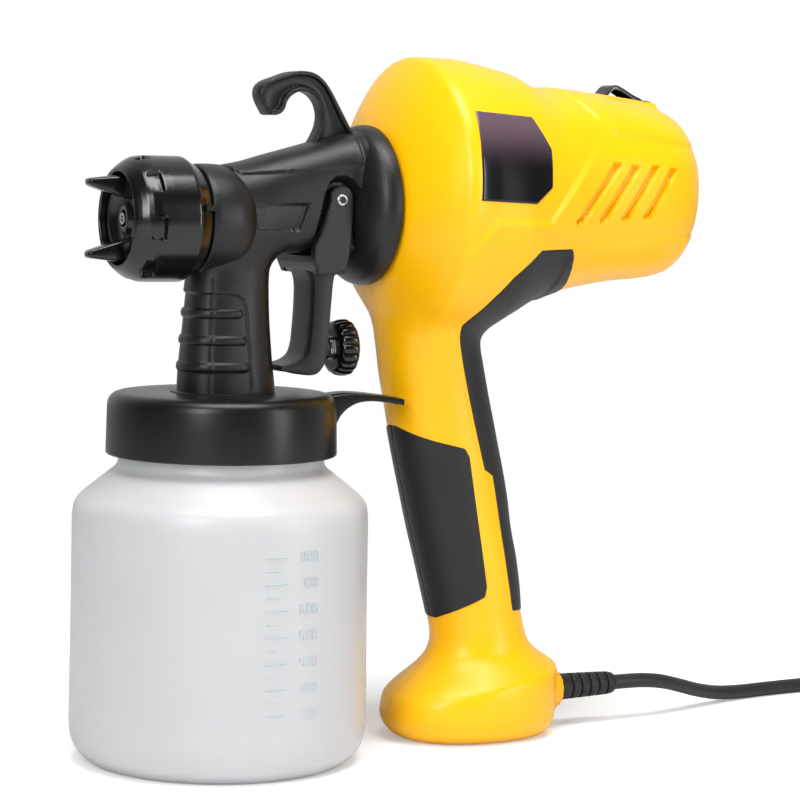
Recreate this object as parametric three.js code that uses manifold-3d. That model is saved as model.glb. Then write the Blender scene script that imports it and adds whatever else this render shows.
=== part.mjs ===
// Handheld electric paint sprayer: a turbine unit with handle and foot, a clip-on spray gun and a
// screw-on bottle.
// Millimetres, +Z up. The gun axis runs along X with the nozzle towards -X.
// The origin is the centre of the bottle's base, on the surface that the sprayer stands on.

import * as THREE from "three";
import { mergeVertices } from "three/addons/utils/BufferGeometryUtils.js";
import Module from "manifold-3d";

const wasm = await Module();
wasm.setup();

// ---------------------------------------------------------------- driving dimensions

const CLEARANCE = 0.3;            // running gap between pieces that touch or turn in each other
const SEAM = 0.3;                 // joint line between the two housing halves

// bottle and lid
const BOTTLE_RADIUS = 56.2;
const BOTTLE_HEIGHT = 130;
const BOTTLE_WALL = 1.8;
const BOTTLE_SHOULDER_Z = 92;     // where the straight side ends
const BOTTLE_NECK_Z = 110;        // where the neck begins
const NECK_RADIUS = 38.7;
const BASE_CORNER = 11.4;
const LID_RADIUS = 43.4;
const LID_BOTTOM_Z = 115.6;
const LID_WALL = 4.0;
const LID_PLATE = 3.2;
const FLANGE_THICKNESS = 3;       // the gun's disc, held under the lid
const GASKET_THICKNESS = 2;
const NECK_COLLAR_RADIUS = 19;    // round neck of the gun in the lid's hole
const LEVER_WIDTH = 13;
const LEVER_THICKNESS = 2.6;
const LEVER_REACH = 70;           // from the bottle axis to the lever's tip
const LEVER_TURN = -10;           // degrees, so that the lever passes beside the handle
const TUBE_RADIUS = 4;
const TUBE_BORE = 2.8;
const TUBE_FLOOR_GAP = 6;

// spray gun
const NOZZLE_Z = 203.5;
const RING_RADIUS = 23.2;
const RING_FRONT_X = -40;
const RING_REAR_X = -13;
const RING_LIP = 5;
const RECESS_COUNT = 8;
const NOSE_RADIUS = 19.4;
const CAP_RADIUS = 16.4;
const EAR_LENGTH = 15;
const EAR_OFFSET = 11.8;
const DOME_RADIUS = 20.6;
const NEEDLE_RADIUS = 1.5;
const COLLAR_RADIUS = 5.2;
const COLLAR_X = 39.3;
const COLLAR_LENGTH = 3.6;
const SPRING_COILS = 4;
const HOOK_THICKNESS = 8;
const COLUMN_X = 1;
const PIVOT = { x: 40.7, z: 211.6 };
const PIN_RADIUS = 2.1;
const EAR_PLATE = 2.6;            // thickness of the trigger's side plates
const POCKET_HALF = 13.6;         // half width of the gun between the trigger's plates
const TRIGGER_HALF = 9.5;         // half width of the trigger's finger channel
const KNOB_RADIUS = 11.4;
const KNOB_LENGTH = 9;
const KNOB_Z = 155;
const KNOB_X = 46.5;
const KNOB_RIBS = 12;
const STEM_RADIUS = 2.8;

// turbine unit
const BELL_Z = 209.5;             // bayonet joint between the gun and the turbine unit
const MOTOR_Z = 213.5;            // fan and motor axis
const BELL_RADIUS = 30.6;
const BELL_FRONT_X = 50;
const HOUSING_FRONT_X = 60;
const SPIGOT_RADIUS = 25;
const SPIGOT_LENGTH = 9;
const WALL = 2.8;
const HANDLE_WALL = 4.4;         // thicker, because the grips are let into it
const GRIP_DEPTH = 1.6;
const FAN_RADIUS = 42;
const FAN_BLADES = 9;
const FAN_X = 76;
const FAN_WIDTH = 16;
const COVER_X = 96;
const COVER_THICKNESS = 2.4;
const COVER_RADIUS = 45;
const CORE_RADIUS = 27;
const CORE_FRONT_X = 116;
const CORE_LENGTH = 44;
const POLE_BORE = 17.4;
const SLOT_RADIUS = 22.4;
const SHAFT_RADIUS = 3;
const BEARING_RADIUS = 8;
const BEARING_WIDTH = 5;
const REAR_BEARING_X = 184;
const COMMUTATOR_RADIUS = 10;
const COMMUTATOR_X = 167;
const SWITCH_X = 171;
const SWITCH_LENGTH = 26;
const SWITCH_WIDTH = 15;
const SWITCH_Z = 255.4;
const SCREW_RADIUS = 1.7;
const SCREW_HEAD_RADIUS = 3.2;
const BOSS_RADIUS = 4.4;

// mains cord
const CORD_RADIUS = 3;
const CORD_EXIT = { x: 177, z: 16 };
const COIL_CENTRE = { x: 344, y: -27.4 };
const COIL_INNER = 24;            // smallest turn of the coil, centre line
const COIL_PITCH = 6.5;           // from turn to turn
const COIL_TURNS = 7.5;
const COIL_STEPS = 16;
const COIL_SIDES = 6;
const CORD_TAIL = 26;             // straight end between the coil and the plug
const PLUG_LENGTH = 36;
const PLUG_HALF = 9.2;

// ---------------------------------------------------------------- helpers

function solid(geometry) {
  const bare = geometry.index ? geometry.toNonIndexed() : geometry.clone();
  bare.deleteAttribute("normal");
  bare.deleteAttribute("uv");
  const merged = mergeVertices(bare, 1e-4);
  const vertProperties = new Float32Array(merged.attributes.position.array);
  const triVerts = new Uint32Array(merged.index.array);
  return new wasm.Manifold(new wasm.Mesh({ numProp: 3, vertProperties, triVerts }));
}

function geometryOf(body) {
  const mesh = body.getMesh();
  const geometry = new THREE.BufferGeometry();
  geometry.setAttribute("position", new THREE.BufferAttribute(new Float32Array(mesh.vertProperties), 3));
  geometry.setIndex(new THREE.BufferAttribute(new Uint32Array(mesh.triVerts), 1));
  geometry.computeVertexNormals();
  return geometry;
}

// Joins the solids of a list into one.
function fuse(list) {
  return list.reduce((sum, next) => sum.add(next));
}

// A revolved solid about X; the profile is a list of [x, radius] pairs.
function turnX(profile, z, sides = 28) {
  const points = profile.map(([x, r]) => new THREE.Vector2(r, x));
  const geometry = new THREE.LatheGeometry(points, sides);
  geometry.rotateZ(-Math.PI / 2);
  geometry.translate(0, 0, z);
  return outward(geometry);
}

// A revolved solid about the vertical; the profile is a list of [radius, z] pairs.
function turnZ(profile, sides = 32) {
  const geometry = new THREE.LatheGeometry(profile.map(([r, z]) => new THREE.Vector2(r, z)), sides);
  geometry.rotateX(Math.PI / 2);
  return outward(geometry);
}

// Six times the volume that the faces enclose; negative when they point inwards.
function signedVolume(geometry) {
  const flat = geometry.index ? geometry.toNonIndexed() : geometry;
  const p = flat.attributes.position;
  const [a, b, c] = [new THREE.Vector3(), new THREE.Vector3(), new THREE.Vector3()];
  let sum = 0;
  for (let i = 0; i < p.count; i += 3) {
    a.fromBufferAttribute(p, i);
    b.fromBufferAttribute(p, i + 1);
    c.fromBufferAttribute(p, i + 2);
    sum += a.dot(b.cross(c));
  }
  return sum;
}

// The same skin with its faces turned outwards, as a solid.
function outward(geometry) {
  const flat = geometry.index ? geometry.toNonIndexed() : geometry;
  if (signedVolume(flat) < 0) {
    const p = flat.attributes.position.array;
    for (let i = 0; i < p.length; i += 9) {
      for (let k = 0; k < 3; k += 1) {
        [p[i + 3 + k], p[i + 6 + k]] = [p[i + 6 + k], p[i + 3 + k]];
      }
    }
  }
  return solid(flat);
}

// A closed skin through rings of equal point count, with flat ends.
function loft(rings) {
  const positions = [];
  const index = [];
  const count = rings[0].length;
  rings.forEach((ring) => ring.forEach((p) => positions.push(p.x, p.y, p.z)));
  for (let i = 0; i + 1 < rings.length; i += 1) {
    for (let j = 0; j < count; j += 1) {
      const k = (j + 1) % count;
      const [a, b, c, d] = [i * count + j, i * count + k, (i + 1) * count + k, (i + 1) * count + j];
      index.push(a, b, c, a, c, d);
    }
  }
  [rings[0], rings[rings.length - 1]].forEach((ring, end) => {
    const middle = ring.reduce((sum, p) => sum.add(p), new THREE.Vector3()).divideScalar(count);
    const centre = positions.length / 3;
    const first = end === 0 ? 0 : (rings.length - 1) * count;
    positions.push(middle.x, middle.y, middle.z);
    for (let j = 0; j < count; j += 1) {
      const k = (j + 1) % count;
      index.push(...(end === 0 ? [centre, first + k, first + j] : [centre, first + j, first + k]));
    }
  });
  const geometry = new THREE.BufferGeometry();
  geometry.setAttribute("position", new THREE.BufferAttribute(new Float32Array(positions), 3));
  geometry.setIndex(index);
  return outward(geometry);
}

// A rounded section: an ellipse for power 2, squarer above.
function section(count, power, place) {
  return Array.from({ length: count }, (_, i) => {
    const t = (2 * Math.PI * (i + 0.5)) / count;
    const u = Math.sign(Math.cos(t)) * Math.abs(Math.cos(t)) ** (2 / power);
    const v = Math.sign(Math.sin(t)) * Math.abs(Math.sin(t)) ** (2 / power);
    return place(u, v);
  });
}

// Section across X. Row: [x, top z, bottom z, half width, power].
function sectionAcrossX([x, top, bottom, half, power], grow = 0, count = 20) {
  const middle = (top + bottom) / 2;
  const height = (top - bottom) / 2;
  const place = (u, v) => new THREE.Vector3(x, u * (half + grow), middle + v * (height + grow));
  return section(count, power, place);
}

// Level section. Row: [z, centre x, half length, half width, power].
function levelSection([z, x, length, half, power], grow = 0, count = 20) {
  return section(count, power, (u, v) => new THREE.Vector3(x + u * (length + grow), v * (half + grow), z));
}

// A flat outline in the X-Z plane given thickness across Y, from y0 to y1.
function slab(shape, y0, y1, curveSegments = 6) {
  const geometry = new THREE.ExtrudeGeometry(shape, { depth: y1 - y0, bevelEnabled: false, curveSegments });
  geometry.rotateX(Math.PI / 2);
  geometry.translate(0, y1, 0);
  return outward(geometry);
}

function outline(points) {
  const shape = new THREE.Shape();
  points.forEach(([x, z], i) => (i === 0 ? shape.moveTo(x, z) : shape.lineTo(x, z)));
  shape.closePath();
  return shape;
}

// An outline whose corners run as one smooth closed curve through the points.
function smoothOutline(points, divisions = 3) {
  const knots = points.map(([x, z]) => new THREE.Vector3(x, z, 0));
  const curve = new THREE.CatmullRomCurve3(knots, true, "centripetal");
  return outline(curve.getPoints(points.length * divisions).slice(0, -1).map((p) => [p.x, p.y]));
}

function box(x0, x1, y0, y1, z0, z1) {
  const geometry = new THREE.BoxGeometry(x1 - x0, y1 - y0, z1 - z0);
  geometry.translate((x0 + x1) / 2, (y0 + y1) / 2, (z0 + z1) / 2);
  return solid(geometry);
}

// A round bar along Y between two points of the same x and z.
function barY(x, z, radius, y0, y1, sides = 10) {
  const geometry = new THREE.CylinderGeometry(radius, radius, y1 - y0, sides);
  geometry.translate(x, (y0 + y1) / 2, z);
  return outward(geometry);
}

function barX(x0, x1, y, z, radius, sides = 12) {
  const geometry = new THREE.CylinderGeometry(radius, radius, x1 - x0, sides);
  geometry.rotateZ(Math.PI / 2);
  geometry.translate((x0 + x1) / 2, y, z);
  return outward(geometry);
}

// A tube about a list of points: regular rings square to the path, closed by flat ends.
function windTube(points, radius, sides, level) {
  const rings = points.map((p, i) => {
    const ahead = points[Math.min(i + 1, points.length - 1)];
    const behind = points[Math.max(i - 1, 0)];
    const along = ahead.clone().sub(behind).normalize();
    const side = along.clone().cross(level(p)).normalize();
    const up = side.clone().cross(along);
    return Array.from({ length: sides }, (_, k) => {
      const a = (2 * Math.PI * (k + 0.5)) / sides;
      return p.clone().addScaledVector(side, radius * Math.cos(a)).addScaledVector(up, radius * Math.sin(a));
    });
  });
  return loft(rings);
}

// Least distance between the centre lines of two turns that lie side by side, less the tube.
function leastGap(points, radius, apart) {
  let least = Infinity;
  for (let i = 0; i < points.length; i += 1) {
    for (let j = i + apart; j < points.length; j += 1) {
      least = Math.min(least, points[i].distanceTo(points[j]));
    }
  }
  return least - 2 * radius;
}

const group = new THREE.Group();

function piece(name, body, material) {
  const mesh = new THREE.Mesh(geometryOf(body), material);
  mesh.name = name;
  group.add(mesh);
}

function finish(color, roughness, metalness = 0) {
  return new THREE.MeshStandardMaterial({ color, roughness, metalness });
}

const YELLOW = finish(0xfdc50b, 0.42);
const BLACK = finish(0x1b1b1c, 0.5);
const GLOSS_BLACK = finish(0x0d0d0e, 0.2);
const RUBBER = finish(0x2b2b2d, 0.8);
const MILKY = finish(0xe9e9e7, 0.45);
const SEAL = finish(0xd8d4c8, 0.7);
const STEEL = finish(0xb9bcc0, 0.3, 1);
const BRASS = finish(0xb99a55, 0.35, 1);
const COPPER = finish(0xa5572b, 0.4, 0.9);
const IRON = finish(0x5d5f63, 0.5, 0.8);
const CARBON = finish(0x2a2a2c, 0.75);
const PLATE = finish(0x151416, 0.25);

// ---------------------------------------------------------------- turbine housing

// Drum and motor barrel: x, top z, bottom z, half width, power.
const HEAD_ROWS = [
  [60, 243, 177, 33, 2],
  [65, 255.6, 167.7, 44.8, 2],
  [72, 265, 162, 51.5, 2],
  [78, 267.4, 160.5, 53, 2.05],
  [104, 265.4, 161.5, 49.5, 2.15],
  [118, 262.7, 165.8, 46, 2.2],
  [135, 257.3, 173.5, 41, 2.4],
  [146, 256.4, 177.5, 39.2, 2.4],
  [180, 252.8, 182, 36.2, 2.35],
  [190, 250.6, 184.5, 34.4, 2.3],
  [196, 246.5, 189, 30.5, 2.2],
  [200, 239.5, 196, 23.5, 2.1],
  [201.5, 231, 204, 15, 2],
];

// Handle and foot: z, centre x, half length, half width, power.
const HANDLE_ROWS = [
  [0, 111.5, 31.5, 25.5, 2.2],
  [3.5, 111, 35, 28.6, 2.2],
  [9, 110, 36.8, 30.2, 2.2],
  [15, 110.3, 36.8, 30.2, 2.2],
  [22, 111, 35, 28.4, 2.2],
  [28, 112.6, 29, 23.6, 2.15],
  [36, 113.4, 21.4, 18, 2.1],
  [48, 111.3, 19.3, 16.3, 2.1],
  [70, 107.2, 20.4, 16.8, 2.15],
  [118, 96, 20.8, 17.6, 2.15],
  [142, 90.1, 21.3, 18.2, 2.15],
  [157, 87.6, 21.4, 19.4, 2.15],
  [165, 88.2, 23.8, 21.6, 2.15],
  [171, 91.5, 29, 24.5, 2.2],
  [176, 96.5, 35.5, 27.5, 2.2],
  [181, 104, 42, 30, 2.2],
  [190, 107.5, 45, 31, 2.2],
];

function head(grow) {
  return loft(HEAD_ROWS.map((row) => sectionAcrossX(row, grow)));
}

function handle(grow) {
  return loft(HANDLE_ROWS.map((row) => levelSection(row, grow)));
}

// The hollow inside the housing, one wall in from the skin.
function hollow() {
  const last = HEAD_ROWS.length - 1;
  const moved = (row, shift) => [row[0] + shift, ...row.slice(1)];
  const kept = HEAD_ROWS.filter((row, i) => i % 2 === 0 && i > 0 && i < last);
  const inside = kept.map((row) => sectionAcrossX(row, -WALL, 14));
  const front = sectionAcrossX(moved(HEAD_ROWS[0], WALL), -WALL - 1, 14);
  const rear = sectionAcrossX(moved(HEAD_ROWS[last], -WALL), -WALL, 14);
  const barrel = loft([front, ...inside, rear]);
  const bottom = [HANDLE_WALL, ...HANDLE_ROWS[1].slice(1)];
  const rows = [bottom, ...HANDLE_ROWS.slice(2)];
  return barrel.add(loft(rows.map((row) => levelSection(row, -HANDLE_WALL, 12))));
}

const FRONT_GRIP_OUTLINE = [
  [56, 130], [73.8, 124.3], [95.4, 116.5], [107.2, 56.7], [100.5, 53.2], [92, 48], [60, 46],
];
const REAR_GRIP_OUTLINE = [
  [128.4, 188], [128, 191.8], [126, 194.7], [110.9, 194.2], [100.1, 183.9], [94, 174.8], [87.7, 164.5],
  [99.3, 125.1], [104.9, 107.2], [109.3, 104.9], [119.9, 50.4], [160, 48], [160, 150], [121, 166], [121, 175],
  [124.5, 179.6], [127, 183.4],
];
const LABEL_OUTLINE = [
  [82.1, 245.7], [107.9, 244.1], [114.6, 232.1], [114, 217.7], [105.8, 211.4], [80, 212.4], [80.6, 228.8],
];
const SIDE_SLOTS = [[148.7, 129.1], [157.7, 141.2], [166.9, 152.3], [176.4, 163.2]];
const SLOT_TOP_Z = 227.5;
const SLOT_BOTTOM_Z = 205;
const SLOT_WIDTH = 2.7;
const SLOT_DEPTH = 1.4;
const SCREWS = [[112, 255], [186, 241], [186, 192], [87, 150], [101.5, 97], [112.6, 34]];

const skin = head(0).add(handle(0));

function gripBody(points) {
  const shell = head(-CLEARANCE).add(handle(-CLEARANCE)).subtract(head(-GRIP_DEPTH).add(handle(-GRIP_DEPTH)));
  return shell.intersect(slab(outline(points), -60, 60));
}

// The outline moved outwards by a margin, corner by corner.
function widened(points, margin) {
  const turning = Math.sign(THREE.ShapeUtils.area(points.map(([x, z]) => new THREE.Vector2(x, z))));
  return points.map(([x, z], i) => {
    const [px, pz] = points.at(i - 1);
    const [nx, nz] = points[(i + 1) % points.length];
    const before = new THREE.Vector2(z - pz, px - x).normalize();
    const after = new THREE.Vector2(nz - z, x - nx).normalize();
    const out = before.add(after).normalize();
    const reach = (turning * margin) / Math.max(out.dot(after), 0.5);
    return [x + out.x * reach, z + out.y * reach];
  });
}

// The pocket that a grip lies in: a little larger and deeper than the grip.
function gripPocket(points) {
  const depth = GRIP_DEPTH + CLEARANCE;
  return slab(outline(widened(points, CLEARANCE)), -60, 60).subtract(head(-depth).add(handle(-depth)));
}

// Round rib inside the housing, square to the motor axis.
function ringRib(x0, x1, inner, outer) {
  return turnX([[x0, inner], [x1, inner], [x1, outer], [x0, outer], [x0, inner]], MOTOR_Z, 12);
}

// Cross-shaped carrier for the rear bearing.
function bearingCarrier() {
  const x0 = REAR_BEARING_X;
  const x1 = REAR_BEARING_X + BEARING_WIDTH;
  const level = box(x0, x1, -60, 60, MOTOR_Z - 3, MOTOR_Z + 3);
  const upright = box(x0, x1, -3, 3, MOTOR_Z - 60, MOTOR_Z + 60);
  return level.add(upright).add(barX(x0, x1, 0, MOTOR_Z, BEARING_RADIUS + 3, 24));
}

const coverRib = COVER_X - CLEARANCE;
const coverRear = COVER_X + COVER_THICKNESS + CLEARANCE;
const mountRear = CORE_FRONT_X + CORE_LENGTH + 2 * CLEARANCE + 3;

const ribs = fuse([
  turnX([
    [coverRib - 2, COVER_RADIUS - 3], [coverRib, COVER_RADIUS - 3], [coverRib, COVER_RADIUS + CLEARANCE],
    [coverRear, COVER_RADIUS + CLEARANCE], [coverRear, COVER_RADIUS - 3], [coverRear + 2, COVER_RADIUS - 3],
    [coverRear + 2, 70], [coverRib - 2, 70], [coverRib - 2, COVER_RADIUS - 3],
  ], MOTOR_Z, 20),
  ringRib(CORE_FRONT_X - 7, CORE_FRONT_X - 4, 25, 70),
  ringRib(mountRear, mountRear + 3, 25, 70),
  bearingCarrier(),
  ...SCREWS.map(([x, z]) => barY(x, z, BOSS_RADIUS, -60, 60, 6)),
]);

function slotCutters() {
  const depth = -SLOT_DEPTH;
  const inner = head(depth);
  const list = SIDE_SLOTS.map(([top, bottom]) => {
    const shape = outline([
      [top - SLOT_WIDTH / 2, SLOT_TOP_Z], [top + SLOT_WIDTH / 2, SLOT_TOP_Z],
      [bottom + SLOT_WIDTH / 2, SLOT_BOTTOM_Z], [bottom - SLOT_WIDTH / 2, SLOT_BOTTOM_Z],
    ]);
    return slab(shape, -60, 60);
  });
  return fuse(list).subtract(inner);
}

// Air inlet louvres in the rear end.
function louvres() {
  const list = [-12, -6, 0, 6, 12].map((dz) => {
    const half = Math.sqrt(16 ** 2 - dz ** 2);
    return box(193, 210, -half, half, MOTOR_Z + 4 + dz - 1.25, MOTOR_Z + 4 + dz + 1.25);
  });
  return fuse(list);
}

const switchHalf = SWITCH_LENGTH / 2;
const switchWell = box(
  SWITCH_X - switchHalf + 2 - CLEARANCE, SWITCH_X + switchHalf - 2 + CLEARANCE,
  -SWITCH_WIDTH / 2 + 1 - CLEARANCE, SWITCH_WIDTH / 2 - 1 + CLEARANCE, SWITCH_Z - 12, SWITCH_Z + 20);
const switchPlatform = box(
  SWITCH_X - switchHalf - 3, SWITCH_X + switchHalf + 3, -SWITCH_WIDTH / 2 - 2, SWITCH_WIDTH / 2 + 2,
  SWITCH_Z - 8, SWITCH_Z - CLEARANCE);

const outlet = barX(50, HOUSING_FRONT_X + 12, 0, BELL_Z, SPIGOT_RADIUS + CLEARANCE, 28);
const bushingHole = fuse([
  barX(130, 165, 0, CORD_EXIT.z, 4.2 + CLEARANCE, 16),
  barX(141 - CLEARANCE, 144 + CLEARANCE, 0, CORD_EXIT.z, 6.4 + CLEARANCE, 16),
]);
const bushingBoss = barX(138, 151.5, 0, CORD_EXIT.z, 9, 20);

const screwHoles = fuse(SCREWS.flatMap(([x, z]) => [
  barY(x, z, SCREW_RADIUS + 2 * CLEARANCE, -9.6, 20, 6),
  barY(x, z, SCREW_HEAD_RADIUS + 2 * CLEARANCE, 8, 70, 8),
]));

const shell = fuse([skin, switchPlatform, bushingBoss]).subtract(hollow().subtract(ribs));
const hub = fuse([
  barX(REAR_BEARING_X - 1, REAR_BEARING_X + BEARING_WIDTH + 1, 0, MOTOR_Z, BEARING_RADIUS + CLEARANCE, 24),
  outlet, bushingHole, screwHoles, switchWell, slotCutters(), louvres(),
  gripPocket(FRONT_GRIP_OUTLINE), gripPocket(REAR_GRIP_OUTLINE),
]);
const housing = shell.subtract(hub);

piece("housing_left", housing.intersect(box(-100, 300, -100, -SEAM / 2, -50, 400)), YELLOW);
piece("housing_right", housing.intersect(box(-100, 300, SEAM / 2, 100, -50, 400)), YELLOW);
piece("front_grip", gripBody(FRONT_GRIP_OUTLINE), RUBBER);
piece("rear_grip", gripBody(REAR_GRIP_OUTLINE), RUBBER);

const labelSheet = head(CLEARANCE + 0.9).subtract(head(CLEARANCE));
piece("label_plate", labelSheet.intersect(slab(outline(LABEL_OUTLINE), -60, -10)), PLATE);

SCREWS.forEach(([x, z], i) => {
  const shank = barY(x, z, SCREW_RADIUS, -9, 8.8, 8);
  const top = barY(x, z, SCREW_HEAD_RADIUS, 8.3, 11, 8);
  const upright = box(x - 0.5, x + 0.5, 9.8, 12, z - 2.2, z + 2.2);
  const level = box(x - 2.2, x + 2.2, 9.8, 12, z - 0.5, z + 0.5);
  const drive = upright.add(level);
  piece(`housing_screw_${i + 1}`, shank.add(top).subtract(drive), STEEL);
});

// ---------------------------------------------------------------- motor and fan

function annulus(x0, x1, inner, outer, sides = 16) {
  return turnX([[x0, inner], [x1, inner], [x1, outer], [x0, outer], [x0, inner]], MOTOR_Z, sides);
}

// Part of a ring between two angles, in degrees from +Y towards +Z.
function sector(x0, x1, inner, outer, from, to) {
  const shape = new THREE.Shape();
  const [a, b] = [THREE.MathUtils.degToRad(from), THREE.MathUtils.degToRad(to)];
  shape.absarc(0, 0, outer, a, b, false);
  shape.absarc(0, 0, inner, b, a, true);
  shape.closePath();
  const settings = { depth: x1 - x0, bevelEnabled: false, curveSegments: 4 };
  const geometry = new THREE.ExtrudeGeometry(shape, settings);
  geometry.applyMatrix4(new THREE.Matrix4().makeBasis(
    new THREE.Vector3(0, 1, 0), new THREE.Vector3(0, 0, 1), new THREE.Vector3(1, 0, 0)));
  geometry.translate(x0, 0, MOTOR_Z);
  return outward(geometry);
}

const coreRear = CORE_FRONT_X + CORE_LENGTH;
const poles = [90, 270].map((a) => (
  sector(CORE_FRONT_X, coreRear, POLE_BORE, SLOT_RADIUS + 1, a - 30, a + 30)));
piece("field_core", fuse([annulus(CORE_FRONT_X, coreRear, SLOT_RADIUS, CORE_RADIUS, 24), ...poles]), IRON);

[["field_coil_upper", 90], ["field_coil_lower", 270]].forEach(([name, a]) => {
  const wound = sector(
    CORE_FRONT_X - 6, coreRear + 6, POLE_BORE + 0.2, SLOT_RADIUS - CLEARANCE, a - 68, a + 68);
  const pole = sector(CORE_FRONT_X - 1.5, coreRear + 1.5, POLE_BORE - 2, SLOT_RADIUS + 2, a - 33, a + 33);
  piece(name, wound.subtract(pole), COPPER);
});

const mountFront = CORE_FRONT_X - 4 + CLEARANCE;
piece("motor_mount_front", annulus(mountFront, CORE_FRONT_X - CLEARANCE, 22.8, 28.6), RUBBER);
piece("motor_mount_rear", annulus(coreRear + CLEARANCE, coreRear + 3, 22.8, 28.6), RUBBER);

const shaftRear = REAR_BEARING_X + BEARING_WIDTH + 1.5;
piece("motor_shaft", barX(FAN_X - 5.6, shaftRear, 0, MOTOR_Z, SHAFT_RADIUS), STEEL);
const shaftBore = SHAFT_RADIUS + CLEARANCE;

function armatureCore() {
  const slots = Array.from({ length: 8 }, (_, i) => {
    const slot = new THREE.BoxGeometry(CORE_LENGTH, 8, 2);
    slot.translate(CORE_FRONT_X + CORE_LENGTH / 2, 15, 0);
    slot.rotateX((Math.PI / 4) * i);
    slot.translate(0, 0, MOTOR_Z);
    return outward(slot);
  });
  return annulus(CORE_FRONT_X + 2, coreRear - 2, shaftBore, 15.8).subtract(fuse(slots));
}
piece("armature", armatureCore(), IRON);
piece("commutator", annulus(COMMUTATOR_X, COMMUTATOR_X + 10, shaftBore, COMMUTATOR_RADIUS), COPPER);

[["bearing_front", COVER_X - 1], ["bearing_rear", REAR_BEARING_X]].forEach(([name, x]) => {
  piece(name, annulus(x, x + BEARING_WIDTH, shaftBore, BEARING_RADIUS), STEEL);
});

[["brush_left", -1], ["brush_right", 1]].forEach(([name, side]) => {
  const reach = [side * (COMMUTATOR_RADIUS + CLEARANCE), side * 31].sort((a, b) => a - b);
  const x0 = mountRear + 3 + CLEARANCE;
  piece(name, box(x0, x0 + 8, reach[0], reach[1], MOTOR_Z - 4, MOTOR_Z + 4), CARBON);
});

// Carrier of the front bearing, with four air windows, between the motor and the fan.
function fanCover() {
  const bore = BEARING_RADIUS + CLEARANCE;
  const back = COVER_X + COVER_THICKNESS;
  const ring = turnX([
    [COVER_X - 1.5, bore], [COVER_X + BEARING_WIDTH, bore], [COVER_X + BEARING_WIDTH, bore + 2.4],
    [back, bore + 2.4], [back, COVER_RADIUS], [COVER_X, COVER_RADIUS], [COVER_X, bore + 2.4],
    [COVER_X - 1.5, bore + 2.4], [COVER_X - 1.5, bore],
  ], MOTOR_Z, 20);
  const windows = [45, 135, 225, 315].map((a) => sector(COVER_X - 3, COVER_X + 8, 13.5, 27, a - 34, a + 34));
  return ring.subtract(fuse(windows));
}
piece("fan_cover", fanCover(), BLACK);

// Radial fan: a back disc, a hub and swept blades.
function fanWheel() {
  const rear = FAN_X + FAN_WIDTH;
  const disc = turnX([
    [FAN_X, shaftBore], [rear, shaftBore], [rear, FAN_RADIUS], [rear - 2, FAN_RADIUS],
    [rear - 2, 8], [FAN_X, 8], [FAN_X, shaftBore],
  ], MOTOR_Z, 28);
  const blades = Array.from({ length: FAN_BLADES }, (_, i) => {
    const angle = (2 * Math.PI * i) / FAN_BLADES;
    const blade = new THREE.BoxGeometry(FAN_WIDTH - 4, FAN_RADIUS - 14, 1.6);
    blade.rotateX(0.5);
    blade.translate(rear - FAN_WIDTH / 2 + 0.5, FAN_RADIUS / 2 + 4.5, 0);
    blade.rotateX(angle);
    blade.translate(0, 0, MOTOR_Z);
    return outward(blade);
  });
  return fuse([disc, ...blades]);
}
piece("fan_wheel", fanWheel(), BLACK);
const nutBore = barX(FAN_X - 6, FAN_X + 1, 0, MOTOR_Z, shaftBore);
piece("fan_nut", barX(FAN_X - 5, FAN_X - CLEARANCE, 0, MOTOR_Z, 6.2, 6).subtract(nutBore), STEEL);

// ---------------------------------------------------------------- switch

const wellBottom = SWITCH_Z - 11;
const rockerHalf = 9;
const rockerWidth = 10;
const switchFrame = box(
  SWITCH_X - switchHalf, SWITCH_X + switchHalf, -SWITCH_WIDTH / 2, SWITCH_WIDTH / 2,
  SWITCH_Z, SWITCH_Z + 1.8);
const switchCase = box(
  SWITCH_X - switchHalf + 2, SWITCH_X + switchHalf - 2, -SWITCH_WIDTH / 2 + 1, SWITCH_WIDTH / 2 - 1,
  wellBottom, SWITCH_Z + 0.5);
const switchMouth = box(
  SWITCH_X - rockerHalf - 0.7, SWITCH_X + rockerHalf + 0.7, -rockerWidth / 2 - CLEARANCE,
  rockerWidth / 2 + CLEARANCE, wellBottom + 2, SWITCH_Z + 9);
piece("switch_case", switchFrame.add(switchCase).subtract(switchMouth), BLACK);

const rockerShape = outline([
  [-9, 0.5], [-8.8, 6.2], [-7.4, 7], [0, 3.6], [8.6, 2.9], [9, 1], [8, -2.2], [3, -4.6], [-3, -4.6],
].map(([x, z]) => [SWITCH_X + x, SWITCH_Z + z]));
piece("switch_rocker", slab(rockerShape, -rockerWidth / 2, rockerWidth / 2), GLOSS_BLACK);

// ---------------------------------------------------------------- spray gun body

// Body between the dome and the bell: x, top z, bottom z, half width, power.
const BODY_ROWS = [
  [-4, 222.5, 186, 15, 2.4],
  [6, 224.8, 187.5, 14.6, 2.6],
  [18, 228, 190, 14, 3],
  [32, 231.6, 190.8, POCKET_HALF, 3.2],
  [44, 235, 191.6, POCKET_HALF, 3.2],
  [49.4, 236.5, 191, POCKET_HALF + 1, 3],
  [56, 238.4, 181.5, 24, 2.2],
];

// Hand column over the bottle: z, centre x, half length, half width, power.
const COLUMN_ROWS = [
  [139.4, COLUMN_X, 18.2, 13.6, 2.5],
  [150, COLUMN_X, 17.4, 13.2, 2.5],
  [165, COLUMN_X, 15.8, 12.6, 2.5],
  [176, COLUMN_X + 0.6, 14.6, 12.2, 2.5],
  [184, COLUMN_X + 1.8, 14.4, 12.4, 2.5],
  [198, COLUMN_X + 4, 16, 13.4, 2.5],
];
const RIB_LEVELS = [148, 158.5, 169];

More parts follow.
